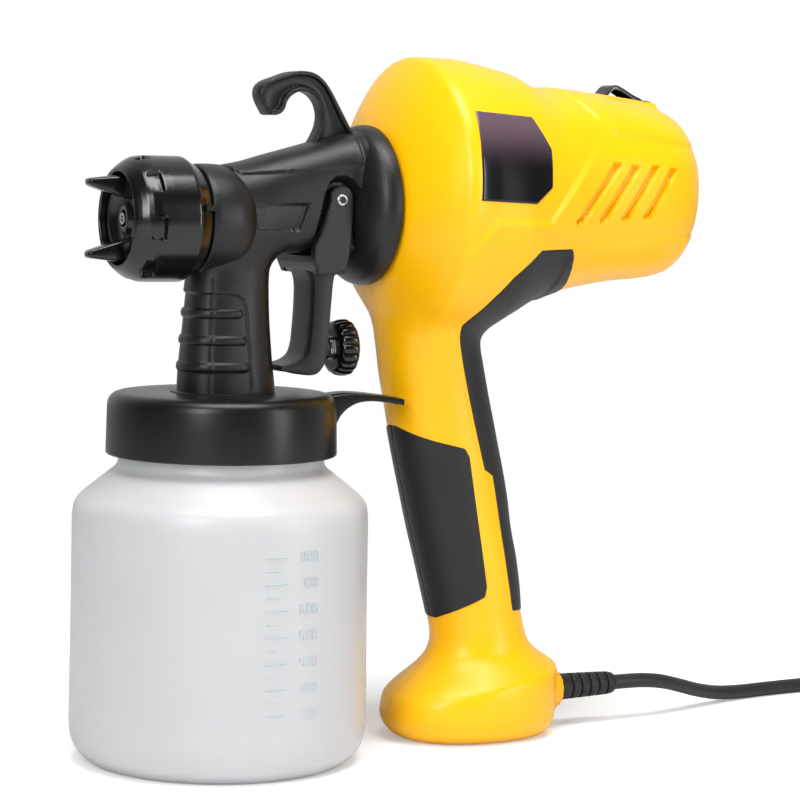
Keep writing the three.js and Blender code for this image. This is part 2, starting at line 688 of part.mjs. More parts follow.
const HOOK_OUTER = [
  [15.6, 243.1], [8.9, 252.6], [10.8, 255.4], [21.6, 258.6], [30.3, 260], [36.2, 258.8],
  [41, 254.6], [53, 236.2],
];
const HOOK_INNER = [
  [30.2, 229], [34.6, 237.6], [36.5, 243.3], [35.9, 247.6], [33.2, 250.9], [29.4, 252.2],
  [25.6, 250.8], [23.6, 247.4], [22.4, 243.8],
];

const lidTop = BOTTLE_HEIGHT + GASKET_THICKNESS + FLANGE_THICKNESS + LID_PLATE + 3 * CLEARANCE;
const flangeBottom = BOTTLE_HEIGHT + GASKET_THICKNESS + 2 * CLEARANCE;
const flangeTop = flangeBottom + FLANGE_THICKNESS;

function hookBody() {
  const plate = slab(outline([...HOOK_OUTER, ...HOOK_INNER]), -HOOK_THICKNESS / 2, HOOK_THICKNESS / 2);
  const web = slab(outline([
    [50, 238], [40.4, 252.6], [37.4, 254], [38.4, 244], [36.5, 236.4], [37, 234],
  ]), -20, 20);
  const core = slab(outline([[0, 220], [70, 220], [70, 270], [0, 270]]), -1.6, 1.6);
  return plate.subtract(web.subtract(core));
}

function gunShell() {
  const dome = turnX([
    [RING_REAR_X, 0], [RING_REAR_X, DOME_RADIUS - 1.4], [-11, DOME_RADIUS - 0.2], [-6, DOME_RADIUS + 0.4],
    [0, DOME_RADIUS - 0.2], [4, DOME_RADIUS - 2.4], [7, DOME_RADIUS - 6], [8, 0],
  ], NOZZLE_Z, 22);
  const nose = turnX([
    [RING_FRONT_X + RING_LIP + 4.4, 0], [RING_FRONT_X + RING_LIP + 4.4, NOSE_RADIUS],
    [RING_REAR_X + 1, NOSE_RADIUS], [RING_REAR_X + 1, 0],
  ], NOZZLE_Z, 18);
  const bell = turnX([
    [BELL_FRONT_X - 3, 0], [BELL_FRONT_X - 3, 17], [BELL_FRONT_X, 24.5], [BELL_FRONT_X + 2.2, 28.6],
    [BELL_FRONT_X + 5, BELL_RADIUS], [HOUSING_FRONT_X - CLEARANCE - 0.8, BELL_RADIUS],
    [HOUSING_FRONT_X - CLEARANCE, BELL_RADIUS - 0.8], [HOUSING_FRONT_X - CLEARANCE, SPIGOT_RADIUS],
    [HOUSING_FRONT_X + SPIGOT_LENGTH, SPIGOT_RADIUS], [HOUSING_FRONT_X + SPIGOT_LENGTH, 0],
  ], BELL_Z, 28);
  const body = loft(BODY_ROWS.map((row) => sectionAcrossX(row, 0, 16)));
  const column = loft(COLUMN_ROWS.map((row) => levelSection(row, 0, 16)));
  const collar = turnZ([
    [0, flangeBottom], [36.6, flangeBottom], [36.6, flangeTop], [NECK_COLLAR_RADIUS, flangeTop],
    [NECK_COLLAR_RADIUS, lidTop + 0.8], [0, lidTop + 0.8],
  ], 20);
  const spigot = turnZ([
    [0, flangeBottom - 12], [TUBE_BORE - CLEARANCE, flangeBottom - 12],
    [TUBE_BORE - CLEARANCE, flangeBottom + 1], [0, flangeBottom + 1],
  ], 10);
  return fuse([dome, nose, bell, body, column, collar, spigot, hookBody(), columnRibs()]);
}

// Three finger ribs round the front of the hand column.
function columnRibs() {
  const bands = RIB_LEVELS.map((z) => {
    const rows = [[z - 1.5, 0.3], [z, 1], [z + 1.5, 0.3]];
    return loft(rows.map(([level, grow]) => {
      const t = (level - COLUMN_ROWS[0][0]) / (COLUMN_ROWS[3][0] - COLUMN_ROWS[0][0]);
      const length = THREE.MathUtils.lerp(COLUMN_ROWS[0][2], COLUMN_ROWS[3][2], t);
      const half = THREE.MathUtils.lerp(COLUMN_ROWS[0][3], COLUMN_ROWS[3][3], t);
      return levelSection([level, COLUMN_X, length, half, 2.5], grow, 16);
    }));
  });
  return fuse(bands).intersect(box(-30, COLUMN_X + 2, -30, 30, 100, 200));
}

function gunBores() {
  const chamber = turnX([
    [-50, 0], [-50, 15], [RING_REAR_X + 1, 15], [RING_REAR_X + 4, 12], [RING_REAR_X + 4, 0],
  ], NOZZLE_Z, 16);
  const duct = barX(RING_REAR_X, HOUSING_FRONT_X + 1, 0, NOZZLE_Z + 15, 4.4);
  const rear = turnX([
    [HOUSING_FRONT_X - 2, 0], [HOUSING_FRONT_X - 2, 18], [HOUSING_FRONT_X + 20, 22],
    [HOUSING_FRONT_X + 20, 0],
  ], BELL_Z, 14);
  const shank = barX(-20, 4, 0, NOZZLE_Z, 4.5 + CLEARANCE);
  const needleBore = barX(-20, HOUSING_FRONT_X, 0, NOZZLE_Z, NEEDLE_RADIUS + 2 * CLEARANCE, 12);
  const packing = barX(21.7, COLLAR_X - 5.5, 0, NOZZLE_Z, 5.2 + CLEARANCE);
  const window = box(COLLAR_X - 5.8, COLLAR_X + COLLAR_LENGTH + 3.4, -30, 30, NOZZLE_Z - 6, NOZZLE_Z + 6);
  const springBore = barX(COLLAR_X + 3, HOUSING_FRONT_X - 1, 0, NOZZLE_Z, 6 + CLEARANCE);
  const pin = barY(PIVOT.x, PIVOT.z, PIN_RADIUS + CLEARANCE, -30, 30);
  const pocket = [-1, 1].map((side) => slab(smoothOutline([
    [28.5, 186], [31, 196], [35.5, 211], [40.7, 218], [46.5, 214], [47.5, 204], [49, 196], [49, 184],
  ], 2), ...(side > 0 ? [POCKET_HALF - 0.4, 30] : [-30, -POCKET_HALF + 0.4])));
  return fuse([chamber, duct, rear, shank, needleBore, packing, window, springBore, pin, ...pocket]);
}
piece("gun_body", gunShell().subtract(gunBores()), BLACK);

// ---------------------------------------------------------------- nozzle group

const lipRear = RING_FRONT_X + RING_LIP;
function ringNut() {
  const body = turnX([
    [RING_FRONT_X, CAP_RADIUS + 2 * CLEARANCE], [RING_FRONT_X, 18.6], [RING_FRONT_X + 1.6, 21],
    [RING_FRONT_X + 4.6, 22.7], [RING_FRONT_X + 8, RING_RADIUS], [RING_REAR_X - 4.6, RING_RADIUS],
    [RING_REAR_X - 4, RING_RADIUS - 0.8], [RING_REAR_X - 1.4, RING_RADIUS - 1.2],
    [RING_REAR_X - CLEARANCE, DOME_RADIUS], [RING_REAR_X - CLEARANCE, NOSE_RADIUS + 2 * CLEARANCE],
    [lipRear, NOSE_RADIUS + 2 * CLEARANCE], [lipRear, CAP_RADIUS + 2 * CLEARANCE],
    [RING_FRONT_X, CAP_RADIUS + 2 * CLEARANCE],
  ], NOZZLE_Z, 24);
  const recesses = Array.from({ length: RECESS_COUNT }, (_, i) => {
    const recess = new THREE.BoxGeometry(10, 7, 4);
    recess.translate(RING_FRONT_X + 7, 0, RING_RADIUS + 0.6);
    recess.rotateX((2 * Math.PI * (i + 0.5)) / RECESS_COUNT);
    recess.translate(0, 0, NOZZLE_Z);
    return outward(recess);
  });
  const tab = box(
    RING_REAR_X - 4.6, RING_REAR_X - CLEARANCE, -RING_RADIUS - 0.4, -19.9,
    NOZZLE_Z + 2, NOZZLE_Z + 4.4);
  return body.subtract(fuse(recesses)).add(tab);
}
piece("ring_nut", ringNut(), GLOSS_BLACK);

const flangeFront = lipRear + CLEARANCE;
const flangeRear = RING_FRONT_X + RING_LIP + 4.4 - CLEARANCE;
function airCap() {
  const body = turnX([
    [flangeRear, 14.4], [flangeRear, NOSE_RADIUS], [flangeFront, NOSE_RADIUS], [flangeFront, CAP_RADIUS],
    [RING_FRONT_X - 0.6, CAP_RADIUS], [RING_FRONT_X - 1.4, CAP_RADIUS - 0.8], [RING_FRONT_X - 1.4, 11],
    [RING_FRONT_X + 1.2, 7.4], [RING_FRONT_X - 0.8, 4.6], [RING_FRONT_X - 0.8, 3.1],
    [RING_FRONT_X + 1.8, 3.1], [RING_FRONT_X + 4.4, 14.4], [flangeRear, 14.4],
  ], NOZZLE_Z, 20);
  const ears = [-1, 1].map((side) => {
    const z = NOZZLE_Z + side * EAR_OFFSET;
    return slab(outline([
      [RING_FRONT_X + 0.4, z - side * 4.6], [RING_FRONT_X - EAR_LENGTH, z + side * 0.4],
      [RING_FRONT_X - EAR_LENGTH, z + side * 2.4], [RING_FRONT_X + 0.4, z + side * 4.2],
    ]), -3.6, 3.6);
  });
  const ports = Array.from({ length: 6 }, (_, i) => {
    const a = (2 * Math.PI * i) / 6;
    return barX(-60, -30, 9 * Math.cos(a), NOZZLE_Z + 9 * Math.sin(a), 1.1, 7);
  });
  return fuse([body, ...ears]).subtract(fuse(ports));
}
piece("air_cap", airCap(), GLOSS_BLACK);

piece("fluid_nozzle", turnX([
  [0, NEEDLE_RADIUS + CLEARANCE], [0, 4.5], [RING_REAR_X + 3.7, 4.5], [RING_REAR_X + 3.7, 8],
  [-17, 8], [-19, 6], [-34, 4], [-37, 2.6], [RING_FRONT_X - 1.2, 2.2], [RING_FRONT_X - 1.2, 1.2],
  [-37.4, NEEDLE_RADIUS + CLEARANCE], [0, NEEDLE_RADIUS + CLEARANCE],
], NOZZLE_Z, 14), BRASS);

// The needle ends inside its spring cap, so that its travel stays short of the housing.
const needleEnd = HOUSING_FRONT_X - 2.6;
piece("needle", turnX([
  [RING_FRONT_X - 2.4, 0], [-38, NEEDLE_RADIUS], [COLLAR_X, NEEDLE_RADIUS], [COLLAR_X, COLLAR_RADIUS],
  [COLLAR_X + COLLAR_LENGTH, COLLAR_RADIUS], [COLLAR_X + COLLAR_LENGTH, NEEDLE_RADIUS],
  [needleEnd, NEEDLE_RADIUS], [needleEnd, 0],
], NOZZLE_Z, 12), STEEL);

const needleBoreRadius = NEEDLE_RADIUS + CLEARANCE;
function ringAboutNeedle(x0, x1, outer, sides) {
  return turnX([
    [x0, needleBoreRadius], [x1, needleBoreRadius], [x1, outer], [x0, outer], [x0, needleBoreRadius],
  ], NOZZLE_Z, sides);
}
piece("needle_packing", ringAboutNeedle(22, 26, 5.2, 14), SEAL);
piece("packing_nut", ringAboutNeedle(26 + CLEARANCE, COLLAR_X - 6.4, 5.2, 12), BRASS);
piece("spring_cap", ringAboutNeedle(HOUSING_FRONT_X - 6.5, HOUSING_FRONT_X - 2.2, 6, 14), BRASS);

// A compression spring about a line parallel to X.
function springPoints(x0, x1, z, radius, coils) {
  const steps = 8 * coils;
  return Array.from({ length: steps + 1 }, (_, i) => {
    const a = (2 * Math.PI * i) / 8;
    const x = THREE.MathUtils.lerp(x0, x1, i / steps);
    return new THREE.Vector3(x, radius * Math.cos(a), z + radius * Math.sin(a));
  });
}
function spring(x0, x1, z, radius, wire, coils) {
  const points = springPoints(x0 + wire + CLEARANCE, x1 - wire - CLEARANCE, z, radius, coils);
  const axis = new THREE.Vector3(1, 0, 0);
  return windTube(points, wire, 5, () => axis);
}
piece("needle_spring", spring(
  COLLAR_X + COLLAR_LENGTH, HOUSING_FRONT_X - 6.5, NOZZLE_Z, 3.6, 0.5, SPRING_COILS), STEEL);

const earOuter = POCKET_HALF + CLEARANCE + EAR_PLATE;
piece("trigger_pin", turnPin(), STEEL);

// Hollow rivet through the gun and both trigger plates.
function turnPin() {
  const half = earOuter + 0.6;
  const bar = barY(PIVOT.x, PIVOT.z, PIN_RADIUS, -half, half, 20);
  const left = barY(PIVOT.x, PIVOT.z, 1.3, -half - 1, 3 - half, 16);
  const right = barY(PIVOT.x, PIVOT.z, 1.3, half - 3, half + 1, 16);
  return bar.subtract(left).subtract(right);
}

// ---------------------------------------------------------------- trigger and flow knob

const TRIGGER_SIDE = [
  [30.6, 189], [33.4, 184.6], [34, 178], [33.2, 168], [31.6, 157], [30.4, 153.4], [27, 150.4],
  [20.6, 149.2], [20.2, 147.4], [26, 146], [32, 144.8], [36, 145.4], [38, 148], [39.2, 160],
  [40.2, 170], [41.4, 181], [43.6, 188],
];
const TRIGGER_CHEEK = [
  [30.4, 189], [33.2, 196], [36.4, 206.5], [36.6, 211.6], [38, 214.8], [40.7, 216], [43.4, 214.8],
  [45, 211.6], [45.4, 206], [45.2, 196], [43.6, 188], [42.4, 184], [32.8, 184.6],
];

function trigger() {
  const finger = slab(outline(TRIGGER_SIDE), -TRIGGER_HALF, TRIGGER_HALF);
  const channel = slab(outline([
    [35.6, 186], [35.4, 169], [34, 156.5], [33, 149.6], [50, 149.6], [50, 186],
  ]), -TRIGGER_HALF + 2.2, TRIGGER_HALF - 2.2);
  const bridge = slab(outline([
    [30.4, 189.4], [33, 184.4], [42.5, 184], [43.6, 188], [43.6, 189.4],
  ]), -earOuter, earOuter);
  const boss = barX(34, 42.6, 0, KNOB_Z, 5.4, 20);
  const cheeks = [-1, 1].map((side) => slab(outline(TRIGGER_CHEEK),
    ...(side > 0 ? [POCKET_HALF + CLEARANCE, earOuter] : [-earOuter, -POCKET_HALF - CLEARANCE])));
  const lugs = [-1, 1].map((side) => box(
    COLLAR_X - 3.4, COLLAR_X - CLEARANCE, ...(side > 0 ? [2.2, earOuter - 1] : [1 - earOuter, -2.2]),
    NOZZLE_Z - 1, NOZZLE_Z + 3.4));
  const body = fuse([finger.subtract(channel), bridge, boss, ...cheeks, ...lugs]);
  const pinHole = barY(PIVOT.x, PIVOT.z, PIN_RADIUS + CLEARANCE, -40, 40);
  const stemHole = barX(20, 60, 0, KNOB_Z, STEM_RADIUS + CLEARANCE);
  return body.subtract(pinHole).subtract(stemHole);
}
piece("trigger", trigger(), BLACK);

const knobEnd = KNOB_X + KNOB_LENGTH;
piece("flow_screw", fuse([
  barX(33.6, knobEnd - 3, 0, KNOB_Z, STEM_RADIUS),
  barX(43.4, KNOB_X - CLEARANCE, 0, KNOB_Z, 0.1 + STEM_RADIUS, 12),
]), STEEL);

function flowKnob() {
  const rim = turnX([
    [KNOB_X, 0], [KNOB_X, KNOB_RADIUS - 2], [KNOB_X + 1, KNOB_RADIUS - 0.8], [knobEnd - 1.4, KNOB_RADIUS],
    [knobEnd, KNOB_RADIUS - 1.6], [knobEnd, 0],
  ], KNOB_Z, 28);
  const bore = barX(KNOB_X - 1, knobEnd - 3 + CLEARANCE, 0, KNOB_Z, STEM_RADIUS + CLEARANCE);
  const flutes = Array.from({ length: KNOB_RIBS }, (_, i) => {
    const a = (2 * Math.PI * i) / KNOB_RIBS;
    const reach = KNOB_RADIUS + 0.5;
    return barX(KNOB_X - 1, knobEnd + 1, reach * Math.cos(a), KNOB_Z + reach * Math.sin(a), 1.3, 6);
  });
  return rim.subtract(bore).subtract(fuse(flutes));
}
piece("flow_knob", flowKnob(), GLOSS_BLACK);
piece("knob_spring", spring(42.6, KNOB_X, KNOB_Z, 4.2, 0.4, 2), STEEL);

// ---------------------------------------------------------------- lid, bottle and suction tube

function lid() {
  const inner = LID_RADIUS - LID_WALL;
  const plateBottom = lidTop - LID_PLATE;
  const ring = turnZ([
    [inner, LID_BOTTOM_Z], [LID_RADIUS - 0.6, LID_BOTTOM_Z], [LID_RADIUS, LID_BOTTOM_Z + 0.6],
    [LID_RADIUS, lidTop - 3.4], [LID_RADIUS - 1, lidTop - 1.2], [LID_RADIUS - 3.4, lidTop],
    [NECK_COLLAR_RADIUS + CLEARANCE, lidTop], [NECK_COLLAR_RADIUS + CLEARANCE, plateBottom], [inner, plateBottom], [inner, LID_BOTTOM_Z],
  ], 30);
  const lever = slab(smoothOutline([
    [LID_RADIUS - 2.4, 137], [50, 138.4], [58, 138.2], [LEVER_REACH, 136.6],
    [LEVER_REACH, 136.6 - LEVER_THICKNESS], [60, 134.4], [53, 132], [47, 127.6],
    [LID_RADIUS - 1.6, 122], [LID_RADIUS - 2.4, 123],
  ], 2), -LEVER_WIDTH / 2, LEVER_WIDTH / 2);
  return ring.add(lever.rotate([0, 0, LEVER_TURN]));
}
piece("lid_ring", lid(), BLACK);

const gasketBottom = BOTTLE_HEIGHT + CLEARANCE;
piece("lid_gasket", turnZ([
  [31, gasketBottom], [38.4, gasketBottom], [38.4, gasketBottom + GASKET_THICKNESS],
  [31, gasketBottom + GASKET_THICKNESS], [31, gasketBottom],
], 24), SEAL);

// Outer profile of the bottle from the base to the rim, moved inwards by a wall.
function bottleSide(inset) {
  const corner = Array.from({ length: 3 }, (_, i) => {
    const a = (Math.PI / 2) * (i / 2);
    const r = BASE_CORNER - inset;
    return [BOTTLE_RADIUS - BASE_CORNER + r * Math.sin(a), BASE_CORNER - r * Math.cos(a)];
  });
  const fall = BOTTLE_RADIUS - NECK_RADIUS;
  const rise = BOTTLE_NECK_Z - BOTTLE_SHOULDER_Z;
  const shoulder = Array.from({ length: 3 }, (_, i) => {
    const t = (i + 1) / 3;
    return [BOTTLE_RADIUS - inset - fall * (t ** 1.5), BOTTLE_SHOULDER_Z + rise * t ** 0.85];
  });
  return [...corner, [BOTTLE_RADIUS - inset, BOTTLE_SHOULDER_Z], ...shoulder];
}
function bottle() {
  const outside = bottleSide(0);
  const inside = bottleSide(BOTTLE_WALL).reverse();
  return turnZ([
    [0, 0], ...outside, [NECK_RADIUS, BOTTLE_HEIGHT], [NECK_RADIUS - BOTTLE_WALL, BOTTLE_HEIGHT],
    ...inside, [0, BOTTLE_WALL],
  ], 28);
}
piece("bottle", bottle(), MILKY);

piece("suction_tube", turnZ([
  [TUBE_BORE, TUBE_FLOOR_GAP], [TUBE_RADIUS, TUBE_FLOOR_GAP], [TUBE_RADIUS, flangeBottom - CLEARANCE],
  [TUBE_BORE, flangeBottom - CLEARANCE], [TUBE_BORE, TUBE_FLOOR_GAP],
], 16), SEAL);

// ---------------------------------------------------------------- cord, bushing and plug

piece("cord_bushing", turnX([
  [134, 0], [134, 4.2], [141, 4.2], [141, 6.4], [144, 6.4], [144, 4.2], [152, 4.2], [152, 6.6], [154, 6.6],
  [155.5, 5.2], [CORD_EXIT.x - CLEARANCE, 3.9], [CORD_EXIT.x - CLEARANCE, 0],
], CORD_EXIT.z, 16), RUBBER);

const CORD_POINTS = [
  [177, 0, 16], [184, 0, 16], [192, 0.3, 15.7], [202, 2, 14.2], [213, 5.4, 11.2], [225, 9.8, 7.6],
  [238, 14.2, 4.7], [252, 17.8, 3.3], [266, 20, 3.05], [282, 21.1, 3.05], [300, 21.5, 3.05],
  [318, 21.5, 3.05], [337.7, 21.5, 3.05],
];
const cordKnots = CORD_POINTS.map((p) => new THREE.Vector3(...p));
const cordCurve = new THREE.CatmullRomCurve3(cordKnots, false, "centripetal");
const cordSection = new THREE.Shape(Array.from({ length: 8 }, (_, i) => {
  const a = (2 * Math.PI * (i + 0.5)) / 8;
  return new THREE.Vector2(CORD_RADIUS * Math.cos(a), CORD_RADIUS * Math.sin(a));
}));
const cordSolid = new THREE.ExtrudeGeometry(cordSection, {
  steps: 18,
  extrudePath: cordCurve,
  bevelEnabled: false,
});
piece("cord", outward(cordSolid), BLACK);

const coilOuter = COIL_INNER + COIL_PITCH * (COIL_TURNS / 2);
const layerOne = CORD_RADIUS + 0.05;
const layerTwo = layerOne + COIL_PITCH;

// Centre line of the coil: it spirals in, climbs a layer in half a turn, and spirals out again.
function coilPoints() {
  const steps = COIL_TURNS * COIL_STEPS;
  const points = Array.from({ length: steps + 1 }, (_, i) => {
    const turn = i / COIL_STEPS;
    const angle = Math.PI / 2 - 2 * Math.PI * turn;
    const radius = COIL_INNER + COIL_PITCH * Math.abs(turn - COIL_TURNS / 2);
    const climb = THREE.MathUtils.smoothstep(turn, COIL_TURNS / 2 - 0.25, COIL_TURNS / 2 + 0.25);
    return new THREE.Vector3(
      COIL_CENTRE.x + radius * Math.cos(angle), COIL_CENTRE.y + radius * Math.sin(angle),
      THREE.MathUtils.lerp(layerOne, layerTwo, climb));
  });
  const start = points[0].clone().add(new THREE.Vector3(-2 * CORD_RADIUS, 0, 0));
  const end = points[points.length - 1].clone().add(new THREE.Vector3(-CORD_TAIL, 0, 0));
  return [start, ...points, end];
}
const coilLine = coilPoints();
const vertical = new THREE.Vector3(0, 0, 1);
piece("cord_coil", windTube(coilLine, CORD_RADIUS, COIL_SIDES, () => vertical), BLACK);
const coilGap = leastGap(coilLine, CORD_RADIUS, COIL_STEPS / 2);
console.log("cord coil: least gap to itself", coilGap.toFixed(2), "mm");

const plugX = COIL_CENTRE.x - CORD_TAIL - CLEARANCE;
const plugY = COIL_CENTRE.y - coilOuter;
function plug() {
  const rows = [
    [plugX, 3.6, 3.6], [plugX - 6, 4.2, 4.2], [plugX - 12, 7, 9], [plugX - 18, 8.8, 12],
    [plugX - PLUG_LENGTH + 3, PLUG_HALF, 12.6], [plugX - PLUG_LENGTH, PLUG_HALF - 1, 11.4],
  ];
  const body = loft(rows.map(([x, height, half]) => section(14, 2.6, (u, v) => new THREE.Vector3(
    x, plugY + u * half, layerTwo + v * height))));
  const rear = plugX - PLUG_LENGTH;
  const pins = [-6, 6].map((dy) => barX(rear - 18, rear + 2, plugY + dy, layerTwo, 2, 12));
  return fuse([body, ...pins]);
}
piece("plug", plug(), BLACK);

export default group;
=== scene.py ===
"""Looks of a handheld electric paint sprayer: yellow turbine unit, black spray gun, milky paint bottle and cord.

Every new piece is a surface worked out in millimetres on a grid of two parameters and put into the CAD's frame in
metres. The frame's nodes keep their places; a detailed piece stands for the node that it replaces.
"""

import logging
import math
from dataclasses import dataclass, field
from enum import Enum
from typing import Callable, Sequence

import bmesh
import bpy
import numpy as np
from mathutils import Matrix, Vector


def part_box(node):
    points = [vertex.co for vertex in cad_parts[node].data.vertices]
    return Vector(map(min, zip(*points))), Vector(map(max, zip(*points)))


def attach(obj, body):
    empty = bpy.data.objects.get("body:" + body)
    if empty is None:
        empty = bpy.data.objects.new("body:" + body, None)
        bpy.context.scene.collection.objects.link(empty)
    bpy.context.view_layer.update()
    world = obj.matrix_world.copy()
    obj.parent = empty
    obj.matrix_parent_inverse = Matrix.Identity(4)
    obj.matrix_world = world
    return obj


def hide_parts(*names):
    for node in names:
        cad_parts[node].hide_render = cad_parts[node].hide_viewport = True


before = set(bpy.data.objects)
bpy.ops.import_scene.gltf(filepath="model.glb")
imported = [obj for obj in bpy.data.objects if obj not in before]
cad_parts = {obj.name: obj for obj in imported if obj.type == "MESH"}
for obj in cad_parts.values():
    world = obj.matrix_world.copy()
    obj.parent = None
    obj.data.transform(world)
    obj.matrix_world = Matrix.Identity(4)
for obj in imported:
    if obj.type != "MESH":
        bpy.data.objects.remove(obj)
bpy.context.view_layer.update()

MM = 0.001
Array = np.ndarray
log = logging.getLogger("sprayer")


class Side(Enum):
    """The two halves of the housing, by the sign of Y."""

    LEFT = -1
    RIGHT = 1


# ---------------------------------------------------------------- numbers and grids


def linear(code: str) -> tuple[float, float, float, float]:
    """Turns an sRGB hex value into linear RGBA.

    Args:
        code: the colour as "#rrggbb".

    Returns:
        The linear colour with full alpha.
    """
    parts = [int(code[i : i + 2], 16) / 255 for i in (1, 3, 5)]
    turned = [p / 12.92 if p <= 0.04045 else ((p + 0.055) / 1.055) ** 2.4 for p in parts]
    return (turned[0], turned[1], turned[2], 1.0)


def ramp(distance: Array, width: float) -> Array:
    """A smooth step from 0 at the line to 1 at `width` inside it: t * t * (3 - 2 t)."""
    t = np.clip(distance / width, 0, 1)
    return t * t * (3 - 2 * t)


def through(rows: Sequence[Sequence[float]], at: Array) -> Array:
    """A monotone cubic through rows of numbers.

    Each span is the Hermite cubic of its two rows, and the slope at a row is the weighted harmonic mean of the slopes
    of its two spans, or 0 where they have opposite signs, so that the curve never swings past a row.

    Args:
        rows: one row for each station, the station first.
        at: stations to read, of any shape.

    Returns:
        The other columns at those stations, as the last axis.
    """
    rows = np.asarray(rows, float)
    x, y = rows[:, 0], rows[:, 1:]
    step = np.diff(x)[:, None]
    slope = np.diff(y, axis=0) / step
    before, after = slope[:-1], slope[1:]
    first, second = 2 * step[1:] + step[:-1], step[1:] + 2 * step[:-1]
    same = before * after > 0
    inner = np.zeros_like(before)
    inner[same] = ((first + second) / (first / np.where(same, before, 1) + second / np.where(same, after, 1)))[same]
    slopes = np.vstack([slope[:1], inner, slope[-1:]])
    t = np.clip(at, x[0], x[-1])
    i = np.clip(np.searchsorted(x, t) - 1, 0, len(x) - 2)
    wide = (x[i + 1] - x[i])[..., None]
    s = (t - x[i])[..., None] / wide
    return (
        (2 * s**3 - 3 * s**2 + 1) * y[i]
        + (s**3 - 2 * s**2 + s) * wide * slopes[i]
        + (3 * s**2 - 2 * s**3) * y[i + 1]
        + (s**3 - s**2) * wide * slopes[i + 1]
    )


def refine(points: Sequence[Sequence[float]], parts: int) -> Array:
    """Centripetal Catmull-Rom curve through points.

    Each span is a Hermite cubic whose end slopes come from the neighbouring points, weighted by the square roots of
    the distances between them.

    Args:
        points: points of two or three numbers.
        parts: how many equal parts each span is cut into.

    Returns:
        The points of the curve, the given ones among them.
    """
    points = np.asarray(points, float)
    ends = np.vstack([2 * points[0] - points[1], points, 2 * points[-1] - points[-2]])
    p0, p1, p2, p3 = ends[:-3], ends[1:-2], ends[2:-1], ends[3:]
    knots = [np.sqrt(np.linalg.norm(b - a, axis=1))[:, None] for a, b in ((p0, p1), (p1, p2), (p2, p3))]
    m1 = p2 - p1 + knots[1] * ((p1 - p0) / knots[0] - (p2 - p0) / (knots[0] + knots[1]))
    m2 = p2 - p1 + knots[1] * ((p3 - p2) / knots[2] - (p3 - p1) / (knots[1] + knots[2]))
    t = np.linspace(0, 1, parts, endpoint=False)[None, :, None]
    a, b, c, d = (v[:, None, :] for v in (p1, p2, m1, m2))
    curve = (2 * t**3 - 3 * t**2 + 1) * a + (t**3 - 2 * t**2 + t) * c + (3 * t**2 - 2 * t**3) * b + (t**3 - t**2) * d
    return np.vstack([curve.reshape(-1, points.shape[1]), points[-1:]])


def even(line: Sequence[Sequence[float]], count: int) -> Array:
    """The given number of points, spaced evenly along a polyline."""
    line = np.asarray(line, float)
    run = np.concatenate([[0.0], np.cumsum(np.linalg.norm(np.diff(line, axis=0), axis=1))])
    at = np.linspace(0, run[-1], count)
    return np.stack([np.interp(at, run, line[:, k]) for k in range(line.shape[1])], -1)


def loop_round(corners: Sequence[tuple[float, float]], count: int) -> tuple[Array, Array]:
    """Points spaced evenly round a closed outline, and the way from each to the middle of them all."""
    rim = even([*corners, corners[0]], count + 1)[:-1]
    return rim, rim.mean(0) - rim


def spread(count: int, edge: float = 0.012) -> Array:
    """Numbers from 0 to 1, with three close together at each end for a rolled edge."""
    near = edge * np.array([0, 0.25, 0.6])
    return np.concatenate([near, np.linspace(edge, 1 - edge, count - 6), 1 - near[::-1]])


def outline_distance(corners: Sequence[tuple[float, float]], x: Array, z: Array) -> Array:
    """Distance from points to a closed outline in the X-Z plane.

    It is the least distance to any side. A point is inside when a level ray from it crosses the sides an odd number
    of times.

    Args:
        corners: the outline's (x, z) corners in order.
        x: the points' first coordinates.
        z: their third coordinates, of a shape that goes with x.

    Returns:
        The distances, positive inside and negative outside.
    """
    near = np.full(np.broadcast(x, z).shape, np.inf)
    inside = np.zeros(near.shape, bool)
    for (ax, az), (bx, bz) in zip(corners, [*corners[1:], corners[0]]):
        dx, dz = bx - ax, bz - az
        t = np.clip(((x - ax) * dx + (z - az) * dz) / (dx * dx + dz * dz), 0, 1)
        near = np.minimum(near, np.hypot(x - ax - t * dx, z - az - t * dz))
        if dz:
            inside ^= ((az > z) != (bz > z)) & (x < ax + (z - az) * dx / dz)
    return np.where(inside, near, -near)


def inset(corners: Sequence[tuple[float, float]], x: Array, z: Array, width: float) -> Array:
    """0 outside an outline, rising evenly to 1 at `width` inside it."""
    return np.clip(outline_distance(corners, x, z) / width, 0, 1)


def blend_down(a: Array, b: Array, reach: float) -> Array:
    """The smaller of two fields, with a round fillet where they are within `reach` of each other."""
    h = np.maximum(reach - np.abs(a - b), 0) / reach
    return np.minimum(a, b) - h * h * reach / 4


def rounded(x: Array, y: Array, power: Array | float) -> Array:
    """Length of (x, y) in a superellipse of the given power: (|x|^p + |y|^p)^(1/p)."""
    return (np.abs(x) ** power + np.abs(y) ** power) ** (1 / power)


def barrel_field(rows: tuple, p: Array) -> Array:
    """Field of a body along X that is a superellipse at each station.

    Args:
        rows: for each station its x, top z, bottom z, half width and power.
        p: points in millimetres, the coordinates last.

    Returns:
        About the distance outside the body, negative inside.
    """
    x, y, z = np.moveaxis(p, -1, 0)
    top, bottom, half, power = np.moveaxis(through(rows, x), -1, 0)
    tall = (top - bottom) / 2
    skin = (rounded(y / half, (z - (top + bottom) / 2) / tall, power) - 1) * np.minimum(half, tall)
    return np.maximum(skin, np.maximum(rows[0][0] - x, x - rows[-1][0]))


